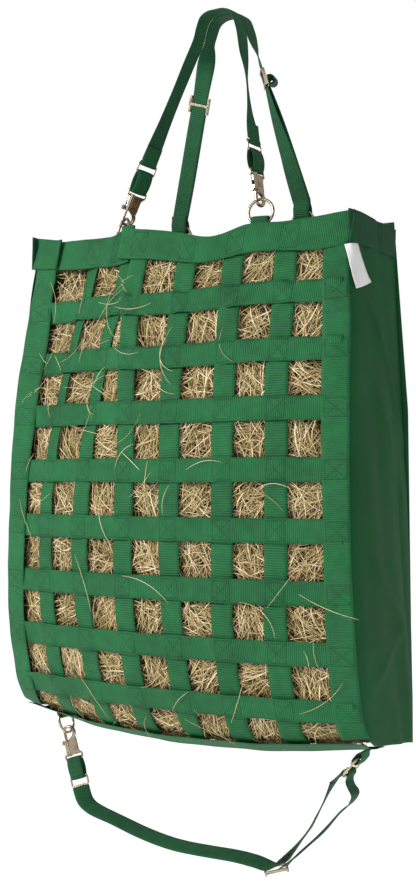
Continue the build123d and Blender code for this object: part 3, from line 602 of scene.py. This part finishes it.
# The side and rear band: down each side and across the back, outside the fabric, with a folded step on the right side.
def upright_band(name, path, top, bot, thick=2.6, seed=1, amp=0.8):
    pts, (t, b) = smooth_path(path, 5.0, (top, bot))
    n = len(pts)
    s = np.concatenate([[0], np.cumsum(np.linalg.norm(np.diff(pts, axis=0), axis=1))])
    tan = unit(np.gradient(pts, axis=0))
    out = np.stack([tan[:, 1], -tan[:, 0]], 1)
    rows = 8
    verts = []
    for i in range(n):
        ring = []
        for q in np.linspace(0, 1, rows):
            off = wav(seed, s[i] + q * 20, amp, 70.0)
            ring.append((pts[i, 0] + out[i, 0] * off, pts[i, 1] + out[i, 1] * off, b[i] + (t[i] - b[i]) * q))
        mid = pts[i] - out[i] * thick / 2
        ring.append((mid[0], mid[1], t[i] + 1.2))
        for q in np.linspace(1, 0, rows):
            off = wav(seed, s[i] + q * 20, amp, 70.0) - thick
            ring.append((pts[i, 0] + out[i, 0] * off, pts[i, 1] + out[i, 1] * off, b[i] + (t[i] - b[i]) * q))
        verts.append(ring)
    verts = np.array(verts)
    m = verts.shape[1]
    vv = np.concatenate([np.linspace(-24, 24, rows), [25.5], np.linspace(27, 75, rows)])
    uv = np.stack(np.broadcast_arrays(s[:, None], vv[None, :]), -1)
    faces = []
    for i in range(n - 1):
        for j in range(m):
            k = (j + 1) % m
            faces.append((i * m + j, (i + 1) * m + j, (i + 1) * m + k, i * m + k))
    faces.append(tuple(range(m)))
    faces.append(tuple((n - 1) * m + j for j in range(m - 1, -1, -1)))
    # the darker side-band webbing carries painted shade
    return make_mesh(name, verts.reshape(-1, 3), faces, M_SIDE_BAND_PAINTED_SHADE, "bag", uv=uv.reshape(-1, 2))


sb = upright_band("side_band_right", [(226.5, -52), (230.5, -30), (231.5, -5), (231.0, 12), (229.0, 18), (231.0, 28), (231.5, 50), (229.5, 70), (222, 74.6)],
                  [-304.5, -306, -309, -311, -312.5, -312.5, -313.5, -316, -316], [-349, -349, -348.5, -349.5, -350, -351, -352.5, -355, -356], seed=8)
bb = upright_band("rear_band", [(224, 75.2), (150, 75.6), (60, 75.0), (-40, 75.6), (-150, 75.2), (-240, 75.6), (-308, 75.2)],
                  [-315, -309, -306, -308, -307, -305, -300], [-355, -352, -351, -352, -352, -351, -348], seed=9, amp=0.6)
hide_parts("top_band_rear")
sl = upright_band("side_band_left", [(-304, 75.0), (-312, 71), (-314.5, 50), (-313.5, 15), (-314.5, -20), (-315, -48)],
                  [-300, -299, -297, -296, -293, -291], [-348, -347, -345, -343, -340, -338], seed=10)


# ------------------------------------------------------------------ side and back fabric
def crease(u, v, u0, v0, u1, v1, width, depth):
    """A soft fold along a line in the panel's own (u, v)."""
    d = np.array([u1 - u0, v1 - v0], float)
    L = np.linalg.norm(d)
    d /= L
    along = (u - u0) * d[0] + (v - v0) * d[1]
    off = (u - u0) * d[1] - (v - v0) * d[0]
    fade = np.clip(along / L, 0, 1)
    end = np.sin(np.clip(along / L, 0, 1) * math.pi) ** 0.6
    return depth * end * np.exp(-(off / width) ** 2) * (0.6 + 0.4 * np.cos(off / width * 2.0)) * (fade >= 0)


def panel(name, sign, nodes, back_x, folds, seed):
    """Side panel from the net's edge back to the rear seam, as one closed sheet 1.4 mm thick."""
    K = np.linspace(0.15, 19.6, 96)
    U = np.linspace(0, 1, 34) ** 1.35
    kk, uu = np.meshgrid(K, U, indexing="ij")
    edge = 15 if sign > 0 else 0
    front = G(np.full_like(K, edge), K) + G_normal(np.full_like(K, edge), K) * 2.0
    tuck = np.interp(K, [0, 3, 6, 12, 19], [1, 3, 6, 7, 3]) if sign > 0 else np.full_like(K, -1.0)
    front[:, 0] += tuck
    z = front[:, 2].copy()
    xb = np.interp(K, [0, 5, 10, 14, 18, 20], back_x)
    zb = np.interp(K, [0, 19.6], [-306, -1000])
    X = front[:, 0][:, None] * (1 - uu) + xb[:, None] * uu - (tuck[:, None] + 1.5 * sign) * np.exp(-uu / 0.035)
    Y = front[:, 1][:, None] * (1 - uu) + 71.5 * uu
    Z = z[:, None] * (1 - uu) + zb[:, None] * uu
    bulge = np.sin(uu * math.pi) ** 0.8 * np.interp(kk, [0, 3, 8, 15, 19.3], [0, 2.2, 5.5, 5.0, 0.5])
    r = np.random.default_rng(seed)
    w = np.zeros_like(uu)
    for _ in range(16):
        fu, fz = r.uniform(0.5, 3.5), r.uniform(0.004, 0.03)
        w += r.uniform(0.15, 0.55) * np.sin(uu * fu * 6.28 + Z * fz + r.uniform(0, 6.28))
    w *= np.sin(np.clip(uu, 0, 1) * math.pi) ** 0.5 * 0.9
    Yw, Zw = Y, Z
    for f_ in folds:
        w = w + crease(Yw, Zw, *f_)
    off = (bulge + w) * sign
    outer = np.stack([X + off, Y, Z], -1)
    inner = np.stack([X + off - sign * 1.4, Y, Z], -1)
    n, m = uu.shape
    verts = np.concatenate([outer.reshape(-1, 3), inner.reshape(-1, 3)])
    faces = []
    N = n * m
    for i in range(n - 1):
        for j in range(m - 1):
            a, b, c, d = i * m + j, (i + 1) * m + j, (i + 1) * m + j + 1, i * m + j + 1
            f1 = (a, b, c, d) if sign > 0 else (a, d, c, b)
            faces.append(f1)
            faces.append(tuple(N + v for v in f1[::-1]))
    rim = [j for j in range(m)] + [i * m + m - 1 for i in range(1, n)] + [(n - 1) * m + j for j in range(m - 2, -1, -1)] + [i * m for i in range(n - 2, 0, -1)]
    for q in range(len(rim)):
        a, b = rim[q], rim[(q + 1) % len(rim)]
        f1 = (a, b, N + b, N + a)
        faces.append(f1 if sign > 0 else f1[::-1])
    ob = make_mesh(name, verts, faces, M_SIDE)
    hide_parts(*nodes)
    return ob


right_panel = panel("side_panel_right_fabric", 1, ["side_panel_right"], [226.5, 234, 245, 249, 252, 252],
                    [(-40, -400, 68, -610, 8, 4.0), (-60, -470, 60, -700, 14, 2.2), (-80, -720, 66, -880, 12, 2.6), (-30, -370, 60, -430, 9, 2.4),
                     (20, -560, 66, -930, 8, -2.6), (-70, -930, 50, -830, 10, 2.0)], 5)
left_panel = panel("side_panel_left_fabric", -1, ["side_panel_left"], [-307, -309, -311, -317, -325, -325],
                   [(-50, -500, 60, -700, 12, 2.0), (-60, -800, 60, -700, 12, 1.6)], 6)

zs = np.linspace(-304, -1001, 70)
us = np.linspace(0, 1, 50)
zz, uu = np.meshgrid(zs, us, indexing="ij")
xl = np.interp(-zs, [303, 560, 992], [-306, -311, -325])[:, None]
xr = np.interp(-zs, [303, 560, 992], [226, 246, 251])[:, None]
X = xl * (1 - uu) + xr * uu
r = np.random.default_rng(3)
w = np.zeros_like(uu)
for _ in range(18):
    w += r.uniform(0.15, 0.5) * np.sin(uu * r.uniform(1, 7) * 6.28 + zz * r.uniform(0.004, 0.03) + r.uniform(0, 6.28))
w = w * np.sin(uu * math.pi) ** 0.4 * 0.8
outer = np.stack([X, 72.8 + w * 0.6, zz], -1)
inner = outer - np.array([0, 1.4, 0])
n, m = uu.shape
verts = np.concatenate([outer.reshape(-1, 3), inner.reshape(-1, 3)])
faces = []
N = n * m
for i in range(n - 1):
    for j in range(m - 1):
        f1 = (i * m + j, i * m + j + 1, (i + 1) * m + j + 1, (i + 1) * m + j)[::-1]
        faces.append(f1)
        faces.append(tuple(N + v for v in f1[::-1]))
rim = [j for j in range(m)] + [i * m + m - 1 for i in range(1, n)] + [(n - 1) * m + j for j in range(m - 2, -1, -1)] + [i * m for i in range(n - 2, 0, -1)]
for q in range(len(rim)):
    a, b = rim[q], rim[(q + 1) % len(rim)]
    faces.append((b, a, N + a, N + b)[::-1])
back = make_mesh("back_panel_fabric", verts, faces, M_SIDE)
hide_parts("back_panel")

# Plain white label, caught in the front seam of the right side.
lab = np.array([[(224.0, -60.5, -351), (232.5, -58.0, -350), (234.2, -44.0, -349)], [(229.5, -62.0, -366), (235.5, -55.0, -365), (237.0, -41.0, -363)],
                [(234.5, -64.0, -381), (238.2, -53.0, -380), (239.5, -36.0, -377)], [(238.2, -63.0, -396), (241.0, -47.0, -393), (241.8, -31.0, -389)],
                [(240.5, -60.0, -409), (242.5, -43.0, -404), (243.0, -24.0, -397)]], float)
fine = []
tq = np.linspace(0, 4, 21)
for c in range(3):
    fine.append(np.stack([pchip(range(5), lab[:, c, i], tq) for i in range(3)], 1))
fine = np.stack(fine, 1)
cols = []
uq = np.linspace(0, 2, 9)
for rrow in fine:
    cols.append(np.stack([pchip(range(3), rrow[:, i], uq) for i in range(3)], 1))
outer = np.array(cols)
n, m = outer.shape[:2]
inner = outer - np.array([0.8, 0, 0])
verts = np.concatenate([outer.reshape(-1, 3), inner.reshape(-1, 3)])
faces = []
N = n * m
for i in range(n - 1):
    for j in range(m - 1):
        f1 = (i * m + j, (i + 1) * m + j, (i + 1) * m + j + 1, i * m + j + 1)
        faces += [f1, tuple(N + v for v in f1[::-1])]
rim = [j for j in range(m)] + [i * m + m - 1 for i in range(1, n)] + [(n - 1) * m + j for j in range(m - 2, -1, -1)] + [i * m for i in range(n - 2, 0, -1)]
for q in range(len(rim)):
    a, b = rim[q], rim[(q + 1) % len(rim)]
    faces.append((a, b, N + b, N + a))
label = make_mesh("side_label_tape", verts, faces, M_LABEL)
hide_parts("side_label")

# ------------------------------------------------------------------ hay
# A dark core a little inside the net, its dark browns painted shade of the hay's depths, and thousands of stalks over
# it.
KC = np.concatenate([[1.95], np.arange(2.2, 18.6, 0.4), np.arange(18.8, 22.9, 0.4)])
AC = np.linspace(0.3, 14.7, 60)
kk, aa = np.meshgrid(KC, AC, indexing="ij")
core = G(aa, kk)
nrm = G_normal(aa, kk)
lump = npr.normal(0, 1, kk.shape)
for _ in range(3):
    lump = (lump + np.roll(lump, 1, 0) + np.roll(lump, -1, 0) + np.roll(lump, 1, 1) + np.roll(lump, -1, 1)) / 3.2
core = core - nrm * (np.interp(kk, [16, 18.4], [17.0, 8.5]) + np.clip(lump * 2.0, -3, 3))[..., None]
n, m = kk.shape
backrow = core.copy()
backrow[..., 1] = 64.0
backrow[..., 0] = np.clip(core[..., 0], -300, 222)
verts = np.concatenate([core.reshape(-1, 3), backrow.reshape(-1, 3)])
faces = []
N = n * m
for i in range(n - 1):
    for j in range(m - 1):
        f1 = (i * m + j, (i + 1) * m + j, (i + 1) * m + j + 1, i * m + j + 1)
        faces += [f1, tuple(N + v for v in f1[::-1])]
rim = [j for j in range(m)] + [i * m + m - 1 for i in range(1, n)] + [(n - 1) * m + j for j in range(m - 2, -1, -1)] + [i * m for i in range(n - 2, 0, -1)]
for q in range(len(rim)):
    a, b = rim[q], rim[(q + 1) % len(rim)]
    faces.append((a, b, N + b, N + a))
hay_core = make_mesh("hay_core", verts, faces, M_CORE)
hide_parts("hay_fill")


# How far forward the net's surface lies over (x, z), as a 4 mm raster: rearmost and frontmost.
RX0, RZ0, RS = -360.0, -1020.0, 4.0
ga, gk = np.meshgrid(np.arange(0.0, 15.01, 0.06), np.arange(0.0, 20.01, 0.06), indexing="ij")
gp = G(ga, gk).reshape(-1, 3)
ri = np.clip(((gp[:, 0] - RX0) / RS).astype(int), 0, 169)
rk = np.clip(((gp[:, 2] - RZ0) / RS).astype(int), 0, 184)
REAR = np.full((170, 185), -np.inf)
FRONT = np.full((170, 185), np.inf)
np.maximum.at(REAR, (ri, rk), gp[:, 1])
np.minimum.at(FRONT, (ri, rk), gp[:, 1])


def clamp_y(v, behind=None, before=None):
    """Push points behind the net's surface (towards +y) or before it."""
    i = np.clip(((v[:, 0] - RX0) / RS).astype(int), 0, 169)
    k = np.clip(((v[:, 2] - RZ0) / RS).astype(int), 0, 184)
    if behind is not None:
        lim = REAR[i, k] + behind
        v[:, 1] = np.where(np.isfinite(lim), np.maximum(v[:, 1], lim), v[:, 1])
    if before is not None:
        lim = FRONT[i, k] - before
        v[:, 1] = np.where(np.isfinite(lim), np.minimum(v[:, 1], lim), v[:, 1])
    v[:, 1] = np.maximum(v[:, 1], -150.0)
    return v


def stalks(name, starts, dirs_, normals, lengths, radii, tones, bends, segs=5, flat=0.45, behind=None, before=None, mat=None):
    """Many bent, tapering stalks as one mesh: three-sided tubes."""
    verts, faces, tone = [], [], []
    base = 0
    for p, d, nn, L, rad, tn, bd in zip(starts, dirs_, normals, lengths, radii, tones, bends):
        d = d / np.linalg.norm(d)
        side = np.cross(nn, d)
        side /= max(np.linalg.norm(side), 1e-6)
        for s in range(segs + 1):
            f_ = s / segs
            q = p + d * L * (f_ - 0.5) + side * bd[0] * (4 * (f_ - 0.5) ** 2 - 0.5) + nn * bd[1] * (0.5 - 4 * (f_ - 0.5) ** 2)
            rr = rad * (1.0 - 0.55 * abs(2 * f_ - 1) ** 2)
            for c in range(3):
                an = c * 2.0944 + 0.4
                verts.append(q + side * (rr * math.cos(an)) + nn * (rr * math.sin(an) * flat * 1.6))
                tone.append(tn)
            if s:
                a = base + (s - 1) * 3
                b = base + s * 3
                for c in range(3):
                    e = (c + 1) % 3
                    faces.append((a + c, a + e, b + e, b + c))
        faces.append((base + 2, base + 1, base))
        e = base + segs * 3
        faces.append((e, e + 1, e + 2))
        base += (segs + 1) * 3
    cen = np.array(verts).reshape(-1, 3, 3)
    mid = cen.mean(1)
    moved = clamp_y(mid.copy(), behind, before) - mid
    if behind is not None:
        moved[:, 0] = np.clip(mid[:, 0], -302, 226) - mid[:, 0]
        moved[:, 1] = np.minimum(mid[:, 1] + moved[:, 1], 67.0) - mid[:, 1]
    ob = make_mesh(name, (cen + moved[:, None]).reshape(-1, 3), faces, mat or M_HAY, tone=tone, smooth=True)
    return ob


def scatter(name, count, kr, seed, depth, lens, rads, tone_mu=0.5, tone_sd=0.22, windows=True):
    r = np.random.default_rng(seed)
    a = r.uniform(0.7, 14.3, count)
    k = r.uniform(kr[0], kr[1], count)
    if windows:
        # crowd the stalks towards the open windows
        pick = r.random(count) < 0.72
        a = np.where(pick, 1 + 2 * r.integers(0, 7, count) + r.uniform(0.0, 1.0, count), a)
        k = np.where(pick, np.clip(2 * np.round(k / 2) + r.uniform(-0.62, 0.62, count), kr[0], kr[1]), k)
    p = G(a, k)
    nn = G_normal(a, k)
    dep = r.uniform(depth[0], depth[1], count)
    p = p - nn * dep[:, None]
    tx = unit(base_surf(p[:, 0] + 3, k) - base_surf(p[:, 0] - 3, k))
    tz = np.cross(nn, tx)
    # neighbouring stalks lie in loose bundles
    cell = (np.floor(a / 1.3) * 7.31 + np.floor(k / 1.7) * 3.77 + seed)
    main = np.sin(cell * 12.9898) * 1.4
    th = main + r.normal(0, 0.65, count)
    tilt = r.normal(0, 0.12, count)
    d = tx * np.cos(th)[:, None] + tz * np.sin(th)[:, None] + nn * tilt[:, None]
    L = r.uniform(lens[0], lens[1], count)
    rad = r.uniform(rads[0], rads[1], count)
    shade = (dep - depth[0]) / (depth[1] - depth[0])
    tone = np.clip(r.normal(tone_mu, tone_sd, count) + 0.16 - 0.42 * shade, 0.02, 1.0)
    bend = np.stack([r.normal(0, 1, count) * L * 0.09, r.normal(0, 1, count) * 2.0], 1)
    inside = kr[1] < 19
    if inside:
        p[:, 0] = np.clip(p[:, 0], -290, 236)
    return stalks(name, p, d, nn, L, rad, tone, bend, behind=2.2 if inside else None)


scatter("hay_front", 6200, (1.25, 18.4), 21, (3.5, 17.0), (26, 78), (0.55, 1.15), tone_mu=0.58)
scatter("hay_front_fine", 5200, (1.25, 18.4), 22, (2.5, 12.0), (20, 60), (0.30, 0.6), tone_mu=0.66)
scatter("hay_under", 2600, (18.2, 22.6), 23, (4.5, 9.5), (18, 46), (0.5, 1.0))

# The hay's top, seen in the mouth.
cnt = 2600
r = np.random.default_rng(31)
px = r.uniform(-296, 214, cnt)
py = r.uniform(-62, 62, cnt)
fy = base_surf(px, np.full(cnt, 1.6))[:, 1] + 18
py = fy + (62 - fy) * r.random(cnt)
pz = -338.0 + r.normal(0, 2.2, cnt) + 1.5 * np.sin(px / 40.0) * np.cos(py / 30.0)
th = r.uniform(0, math.pi, cnt)
dd = np.stack([np.cos(th), np.sin(th) * 0.7, r.normal(0, 0.18, cnt)], 1)
LL = r.uniform(26, 64, cnt)
bend = np.stack([r.normal(0, 1, cnt) * LL * 0.09, r.normal(0, 1, cnt) * 2.5], 1)
stalks("hay_top", np.stack([px, py, pz], 1), dd, np.repeat([[0, 0, 1.0]], cnt, 0), LL, r.uniform(0.45, 1.05, cnt),
       np.clip(r.normal(0.55, 0.22, cnt), 0, 1), bend, behind=5.0)

# Stray stalks that have worked out through the windows and lie over the webbing.
r = np.random.default_rng(47)
cnt = 64
a = r.uniform(1.0, 14.2, cnt)
k = r.uniform(2.2, 18.6, cnt)
a[:30] = np.clip(r.normal(4.2, 2.4, 30), 1.0, 13)
k[:30] = np.clip(r.normal(5.0, 2.2, 30), 2.2, 12)
p = G(a, k)
nn = G_normal(a, k)
p = p + nn * 5.0
tx = unit(base_surf(p[:, 0] + 3, k) - base_surf(p[:, 0] - 3, k))
tz = np.cross(nn, tx)
th = r.uniform(-1.5, 1.5, cnt)
dd = tx * np.cos(th)[:, None] + tz * np.sin(th)[:, None]
LL = r.uniform(26, 84, cnt)
bend = np.stack([r.normal(0, 1, cnt) * LL * 0.13, np.zeros(cnt)], 1)
stalks("hay_strays", p, dd, nn, LL, r.uniform(0.26, 0.46, cnt), np.clip(r.normal(0.84, 0.12, cnt), 0.45, 1), bend, segs=14, before=5.0)

# ------------------------------------------------------------------ ring tabs and snap tabs
RING = {  # pivot, width direction, direction to the ring, tail length
    "front_left": ((-143.38, -52.49, -307.42), (-0.8746, 0.4848, 0), (0.1279, 0.2307, 0.9646), 32.0),
    "front_right": ((92.27, -53.27, -305.72), (0.9781, 0.2079, 0), (-0.0250, 0.1177, 0.9927), 32.0),
    "rear_left": ((-116.13, 58.81, -306.65), (0.9976, 0.0698, 0), (0.0117, -0.1672, 0.9859), 26.0),
    "rear_right": ((92.90, 58.41, -305.71), (0.9976, 0.0698, 0), (0.0092, -0.1310, 0.9913), 26.0),
    "bottom_left": ((-320.16, 35.72, -1010.68), (-0.0872, 0.9962, 0), (0.2924, 0.0256, -0.9560), 2.0),
    "bottom_right": ((242.86, -61.40, -1003.68), (-0.0872, 0.9962, 0), (-0.6352, -0.0556, -0.7703), 4.0),
}
for name, (c, d, up, tail) in RING.items():
    c, d, up = np.array(c), np.array(d), np.array(up)
    nn = np.cross(d, up)
    # up one side, over the wire, down the other and on to the tail
    prof = []
    rr = 4.3
    low = -13.0 - tail
    for v in np.linspace(low, -14.5, 6):
        prof.append((-1.0, v))
    prof += [(-1.6, -13.0), (-3.4, -11.0), (-4.3, -8.5), (-4.3, -4.0)]
    for t in np.linspace(math.pi, 0, 15):
        prof.append((rr * math.cos(t), rr * math.sin(t) + 0.3))
    prof += [(4.3, -4.0), (4.3, -8.5), (3.4, -11.0), (1.6, -13.0)]
    for v in np.linspace(-14.5, low, 6):
        prof.append((1.0, v))
    pts = [c + nn * h + up * v for h, v in prof]
    ob = ribbon(f"ring_tab_{name}_web", pts, d, 24.6, 1.4, M_STRAP if "rear" in name else M_BAND, nw=5)
    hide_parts(f"ring_tab_{name}")

SNAP = {  # up, v, eye
    "front_left": ((0.4151, 0.0475, 0.9085), (0.2978, 0.9365, -0.1850), (-117.59, -47.13, -243.69)),
    "front_right": ((-0.1707, 0.0854, 0.9816), (0.0486, 0.9958, -0.0781), (81.98, -46.99, -237.38)),
    "bottom_left": ((0.3204, -0.0312, -0.9468), (0.9371, 0.1568, 0.3119), (-298.60, 34.13, -1076.71)),
}
FAR = {}
for name, (up, v, eye) in SNAP.items():
    up, v, eye = np.array(up), np.array(v), np.array(eye)
    w_ = np.cross(v, up)
    FAR[name] = eye + up * 40.0
    prof = []
    R = 2.75
    half = 27.0 / 2
    for t in np.linspace(-math.pi / 2, math.pi / 2, 13):
        prof.append((27.0 + R * math.cos(t), R * math.sin(t)))
    for u in np.linspace(25, 2, 11):
        prof.append((u, R + 2.9 * math.sin(math.pi * u / 27.0) ** 0.8))
    for t in np.linspace(math.pi / 2, 3 * math.pi / 2, 13):
        prof.append((R * math.cos(t), R * math.sin(t)))
    for u in np.linspace(2, 25, 11):
        prof.append((u, -R - 2.2 * math.sin(math.pi * u / 27.0) ** 0.8))
    pts = [eye + up * u + w_ * h for u, h in prof]
    ob = ribbon(f"snap_tab_{name}_web", pts, v, 24.8, 1.5, M_STRAP, body=f"snap_link_{name}", nw=5, closed=True, crown=0.3)
    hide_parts(f"snap_tab_{name}")


# ------------------------------------------------------------------ hanging straps
def strap_leg(name, points, azimuths, width=25.4, thick=1.7, crown=0.4, body="bag", node=None, end_dir=None):
    """A strap through points; azimuths are its width direction at each, in degrees, or 3-vectors."""
    dirs = [az(a_) if np.isscalar(a_) else unit(np.array(a_, float)) for a_ in azimuths]
    pts, ch = smooth_path(points, 4.0, tuple([dv[i] for dv in dirs] for i in range(3)))
    ob = ribbon(name, pts, unit(np.stack(ch, 1)), width, thick, M_STRAP, body=body, nw=8, crown=crown)
    if node:
        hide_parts(node)
    return ob


def lerp(a, b, f_):
    return tuple(np.array(a) + (np.array(b) - np.array(a)) * f_)


# Front strap: rect ring to rect ring over the saddle, in one piece.
fl, fr = FAR["front_left"], FAR["front_right"]
SN = SNAP
upL, upR = np.array(SN["front_left"][0]), np.array(SN["front_right"][0])
vL, vR = np.array(SN["front_left"][1]), np.array(SN["front_right"][1])
eL, eR = fl + upL * 3.4, fr + upR * 3.4
sL, sR = (-36, -13.3, -34), (36, -13.3, -34)
pts = [tuple(eL), lerp(eL, sL, .12), lerp(eL, sL, .30), lerp(eL, sL, .55), lerp(eL, sL, .8), sL, (-31.0, -13.3, -18), (-24.5, -13.3, -5.0), (-14, -13.3, 0.4), (0, -13.3, 1.1), (14, -13.3, 0.4),
       (24.5, -13.3, -5.0), (31.0, -13.3, -18), sR, lerp(sR, eR, .2), lerp(sR, eR, .45), lerp(sR, eR, .7), lerp(sR, eR, .88), tuple(eR)]
azs = [tuple(vL), 74, 86, 92, 90, 90, 90, 90, 90, 90, 90, 90, 90, 90, 96, 118, 110, 92, tuple(vR)]
strap_leg("hang_strap_front_web", pts, azs, node="hang_strap_front")
for side, ebar, up, v in (("left", fl, upL, vL), ("right", fr, upR, vR)):
    w_ = np.cross(v, up)
    prof = [(26 - i * 3.0, 1.75) for i in range(8)] + [(2.75 * math.cos(t), 2.75 * math.sin(t)) for t in np.linspace(math.pi / 2, 3 * math.pi / 2, 13)] + [(1.0 + i * 1.2, -2.75 + i * 0.75) for i in range(3)]
    ob = ribbon(f"hang_strap_turn_{side}", [ebar + up * (u + 0.0) + w_ * h for u, h in prof], v, 25.0, 1.5, M_STRAP, nw=6)

# Rear strap, looped through the rear rings, doubled below each slide.
ring_top = {}
for side in ("left", "right"):
    c, d, up, tail = RING["rear_" + side]
    ring_top[side] = (np.array(c) + np.array(up) * 21.6, np.array(d), np.array(up))
tL, dL, uL = ring_top["left"]
tR, dR, uR = ring_top["right"]
eL2, eR2 = tL + uL * 14, tR + uR * 14
sL, sR = (-36, 13.3, -34), (36, 13.3, -34)
pts = [tuple(eL2), lerp(eL2, sL, .25), lerp(eL2, sL, .5), lerp(eL2, sL, .75), lerp(eL2, sL, .86), lerp(eL2, sL, .94), sL, (-31.0, 13.3, -18), (-24.5, 13.3, -5.0), (-14, 13.3, 0.4),
       (0, 13.3, 1.1), (14, 13.3, 0.4), (24.5, 13.3, -5.0), (31.0, 13.3, -18), sR, lerp(sR, eR2, .06), lerp(sR, eR2, .14), lerp(sR, eR2, .26), lerp(sR, eR2, .45), lerp(sR, eR2, .6), lerp(sR, eR2, .75), lerp(sR, eR2, .9), tuple(eR2)]
azs = [4, 4, 4, 4, 24, 62, 90, 90, 90, 90, 90, 90, 90, 90, 90, 100, 122, 124, 132, 150, 172, 182, 184]
strap_leg("hang_strap_rear_web", pts, azs, node="hang_strap_rear")
for side, (t_, d, up), (s_, a_), frac in (("left", ring_top["left"], (sL, 4), 0.62), ("right", ring_top["right"], (sR, 184), 0.70)):
    nn = np.cross(d, up)
    e2 = t_ + up * 14
    toward = np.array(s_) - e2
    # loop round the ring's top wire
    loop = [(-1.4, 22), (-1.8, 16), (-4.4, 10.5), (-4.9, 5)] + [(4.9 * math.cos(t), 4.9 * math.sin(t)) for t in np.linspace(math.pi, 2 * math.pi, 13)] + [(4.9, 5), (4.4, 10.5), (1.8, 16), (1.4, 22)]
    ob = ribbon(f"rear_loop_{side}", [t_ + nn * h + up * v for h, v in loop], d, 24.8, 1.3, M_STRAP, nw=6)
    # second strand, from the ring back to the slide
    q0 = e2 + nn * -2.6
    top = e2 + toward * frac
    strand = [tuple(q0 + up * 4), tuple(lerp(q0, top + nn * -2.4, .35)), tuple(lerp(q0, top + nn * -2.4, .7)), tuple(top + nn * -2.2)]
    azs2 = [a_] * 4 if side == "left" else [184, 178, 160, 136]
    strap_leg(f"rear_strand_{side}", strand, azs2, width=25.0, thick=1.5)

# Slack webbing gathered at the rear right slide; it travels with the slide.
sd, sw = unit(np.array((0.2340, 0.1643, -0.9583))), az(124)
sn = unit(np.cross(sd, sw))
if sn[0] < 0:
    sn = -sn
s0 = np.array((50.31, 23.35, -92.61))
curl = [s0 + sn * (8.6 + q_ * math.cos(t)) - sd * (q_ * math.sin(t) - 6.0) for t, q_ in zip(np.linspace(math.radians(200), math.radians(-700), 60), np.linspace(7.8, 2.2, 60))]
ob = ribbon("slide_curl_right", curl, sw + sn * 0.25, 24.0, 1.5, M_STRAP, body="strap_slide_rear_right", nw=6)

# Bottom strap's loop round the lower ring, and its second strand to the slide.
c, d, up, tail = RING["bottom_right"]
c, d, up = np.array(c), np.array(d), np.array(up)
nn = np.cross(d, up)
o = c + up * 21.6
loop = [(-14, 11), (-9.5, 9), (-6.2, 6), (-4.9, 2)] + [(4.9 * math.cos(t), 4.9 * math.sin(t)) for t in np.linspace(math.pi, 2 * math.pi, 13)] + [(4.9, 5), (6.0, 14), (8.2, 24)]
ob = ribbon("bottom_loop", [o + nn * h + up * v for h, v in loop], d, 24.6, 1.3, M_STRAP, nw=6)
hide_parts("bottom_strap_return")
ret = [(230.7, -62.3, -1033.4), (232.8, -62.3, -1037.7), (236.5, -59.5, -1047), (231, -56.8, -1058), (210, -51, -1076), (188.4, -46, -1098),
       (163.7, -41, -1120.6), (137, -38.5, -1144), (116, -36.5, -1162)]
ob2 = strap_leg("bottom_strand", ret, [(0.087, -0.996, 0), (0.087, -0.996, 0), 274, 280, 292, 296, 292, 290, 268], width=24.6, thick=1.5)

# ------------------------------------------------------------------ hardware finishes
for n_, o_ in NODES.items():
    if n_.startswith(("ring_", "rect_ring_", "snap_body_", "snap_bolt_", "strap_slide_")) and not n_.startswith("ring_tab"):
        o_.data.materials.clear()
        o_.data.materials.append(M_NICKEL)
    elif n_.startswith("snap_spring_"):
        o_.data.materials.clear()
        o_.data.materials.append(M_STEEL)

# ------------------------------------------------------------------ floor and light
def stage_plane():
    me = bpy.data.meshes.new("floor")
    s = 14.0
    me.from_pydata([(-s, -s, -2.3), (s, -s, -2.3), (s, s, -2.3), (-s, s, -2.3)], [], [(0, 1, 2, 3)])
    ob_ = bpy.data.objects.new("floor", me)
    m_ = bpy.data.materials.new("floor")
    m_.use_nodes = True
    b = m_.node_tree.nodes["Principled BSDF"]
    b.inputs["Base Color"].default_value = (0.93, 0.93, 0.93, 1)
    b.inputs["Roughness"].default_value = 0.9
    b.inputs["Emission Color"].default_value = (1, 1, 1, 1)
    b.inputs["Emission Strength"].default_value = 0.55
    me.materials.append(m_)
    bpy.context.scene.collection.objects.link(ob_)


stage_plane()
world = bpy.data.worlds.new("world")
bpy.context.scene.world = world
world.use_nodes = True
world.node_tree.nodes["Background"].inputs["Color"].default_value = (1, 1, 1, 1)
wt = world.node_tree
path = wt.nodes.new("ShaderNodeLightPath")
strength = wt.nodes.new("ShaderNodeMath")
strength.operation = "MULTIPLY_ADD"
strength.inputs[1].default_value = 0.48
strength.inputs[2].default_value = 0.52
wt.links.new(path.outputs["Is Camera Ray"], strength.inputs[0])
wt.links.new(strength.outputs[0], wt.nodes["Background"].inputs["Strength"])


def area(name, loc, target, size, power, color=(1, 1, 1)):
    l_ = bpy.data.lights.new(name, "AREA")
    l_.shape = "RECTANGLE"
    l_.size, l_.size_y = size
    l_.energy = power
    l_.color = color
    o_ = bpy.data.objects.new(name, l_)
    o_.location = loc
    o_.rotation_mode = "QUATERNION"
    o_.rotation_quaternion = (Vector(target) - Vector(loc)).to_track_quat("-Z", "Y")
    bpy.context.scene.collection.objects.link(o_)


area("key", (-1.7, -2.5, 0.7), (-0.05, 0.0, -0.65), (0.9, 0.9), 105, (1.0, 0.99, 0.97))
area("fill", (1.9, -2.2, -0.2), (0, 0, -0.65), (1.8, 1.8), 12, (0.97, 0.99, 1.0))
sc = bpy.context.scene
sc.view_settings.view_transform = "Standard"
sc.view_settings.look = "None"
sc.view_settings.exposure = 0.0
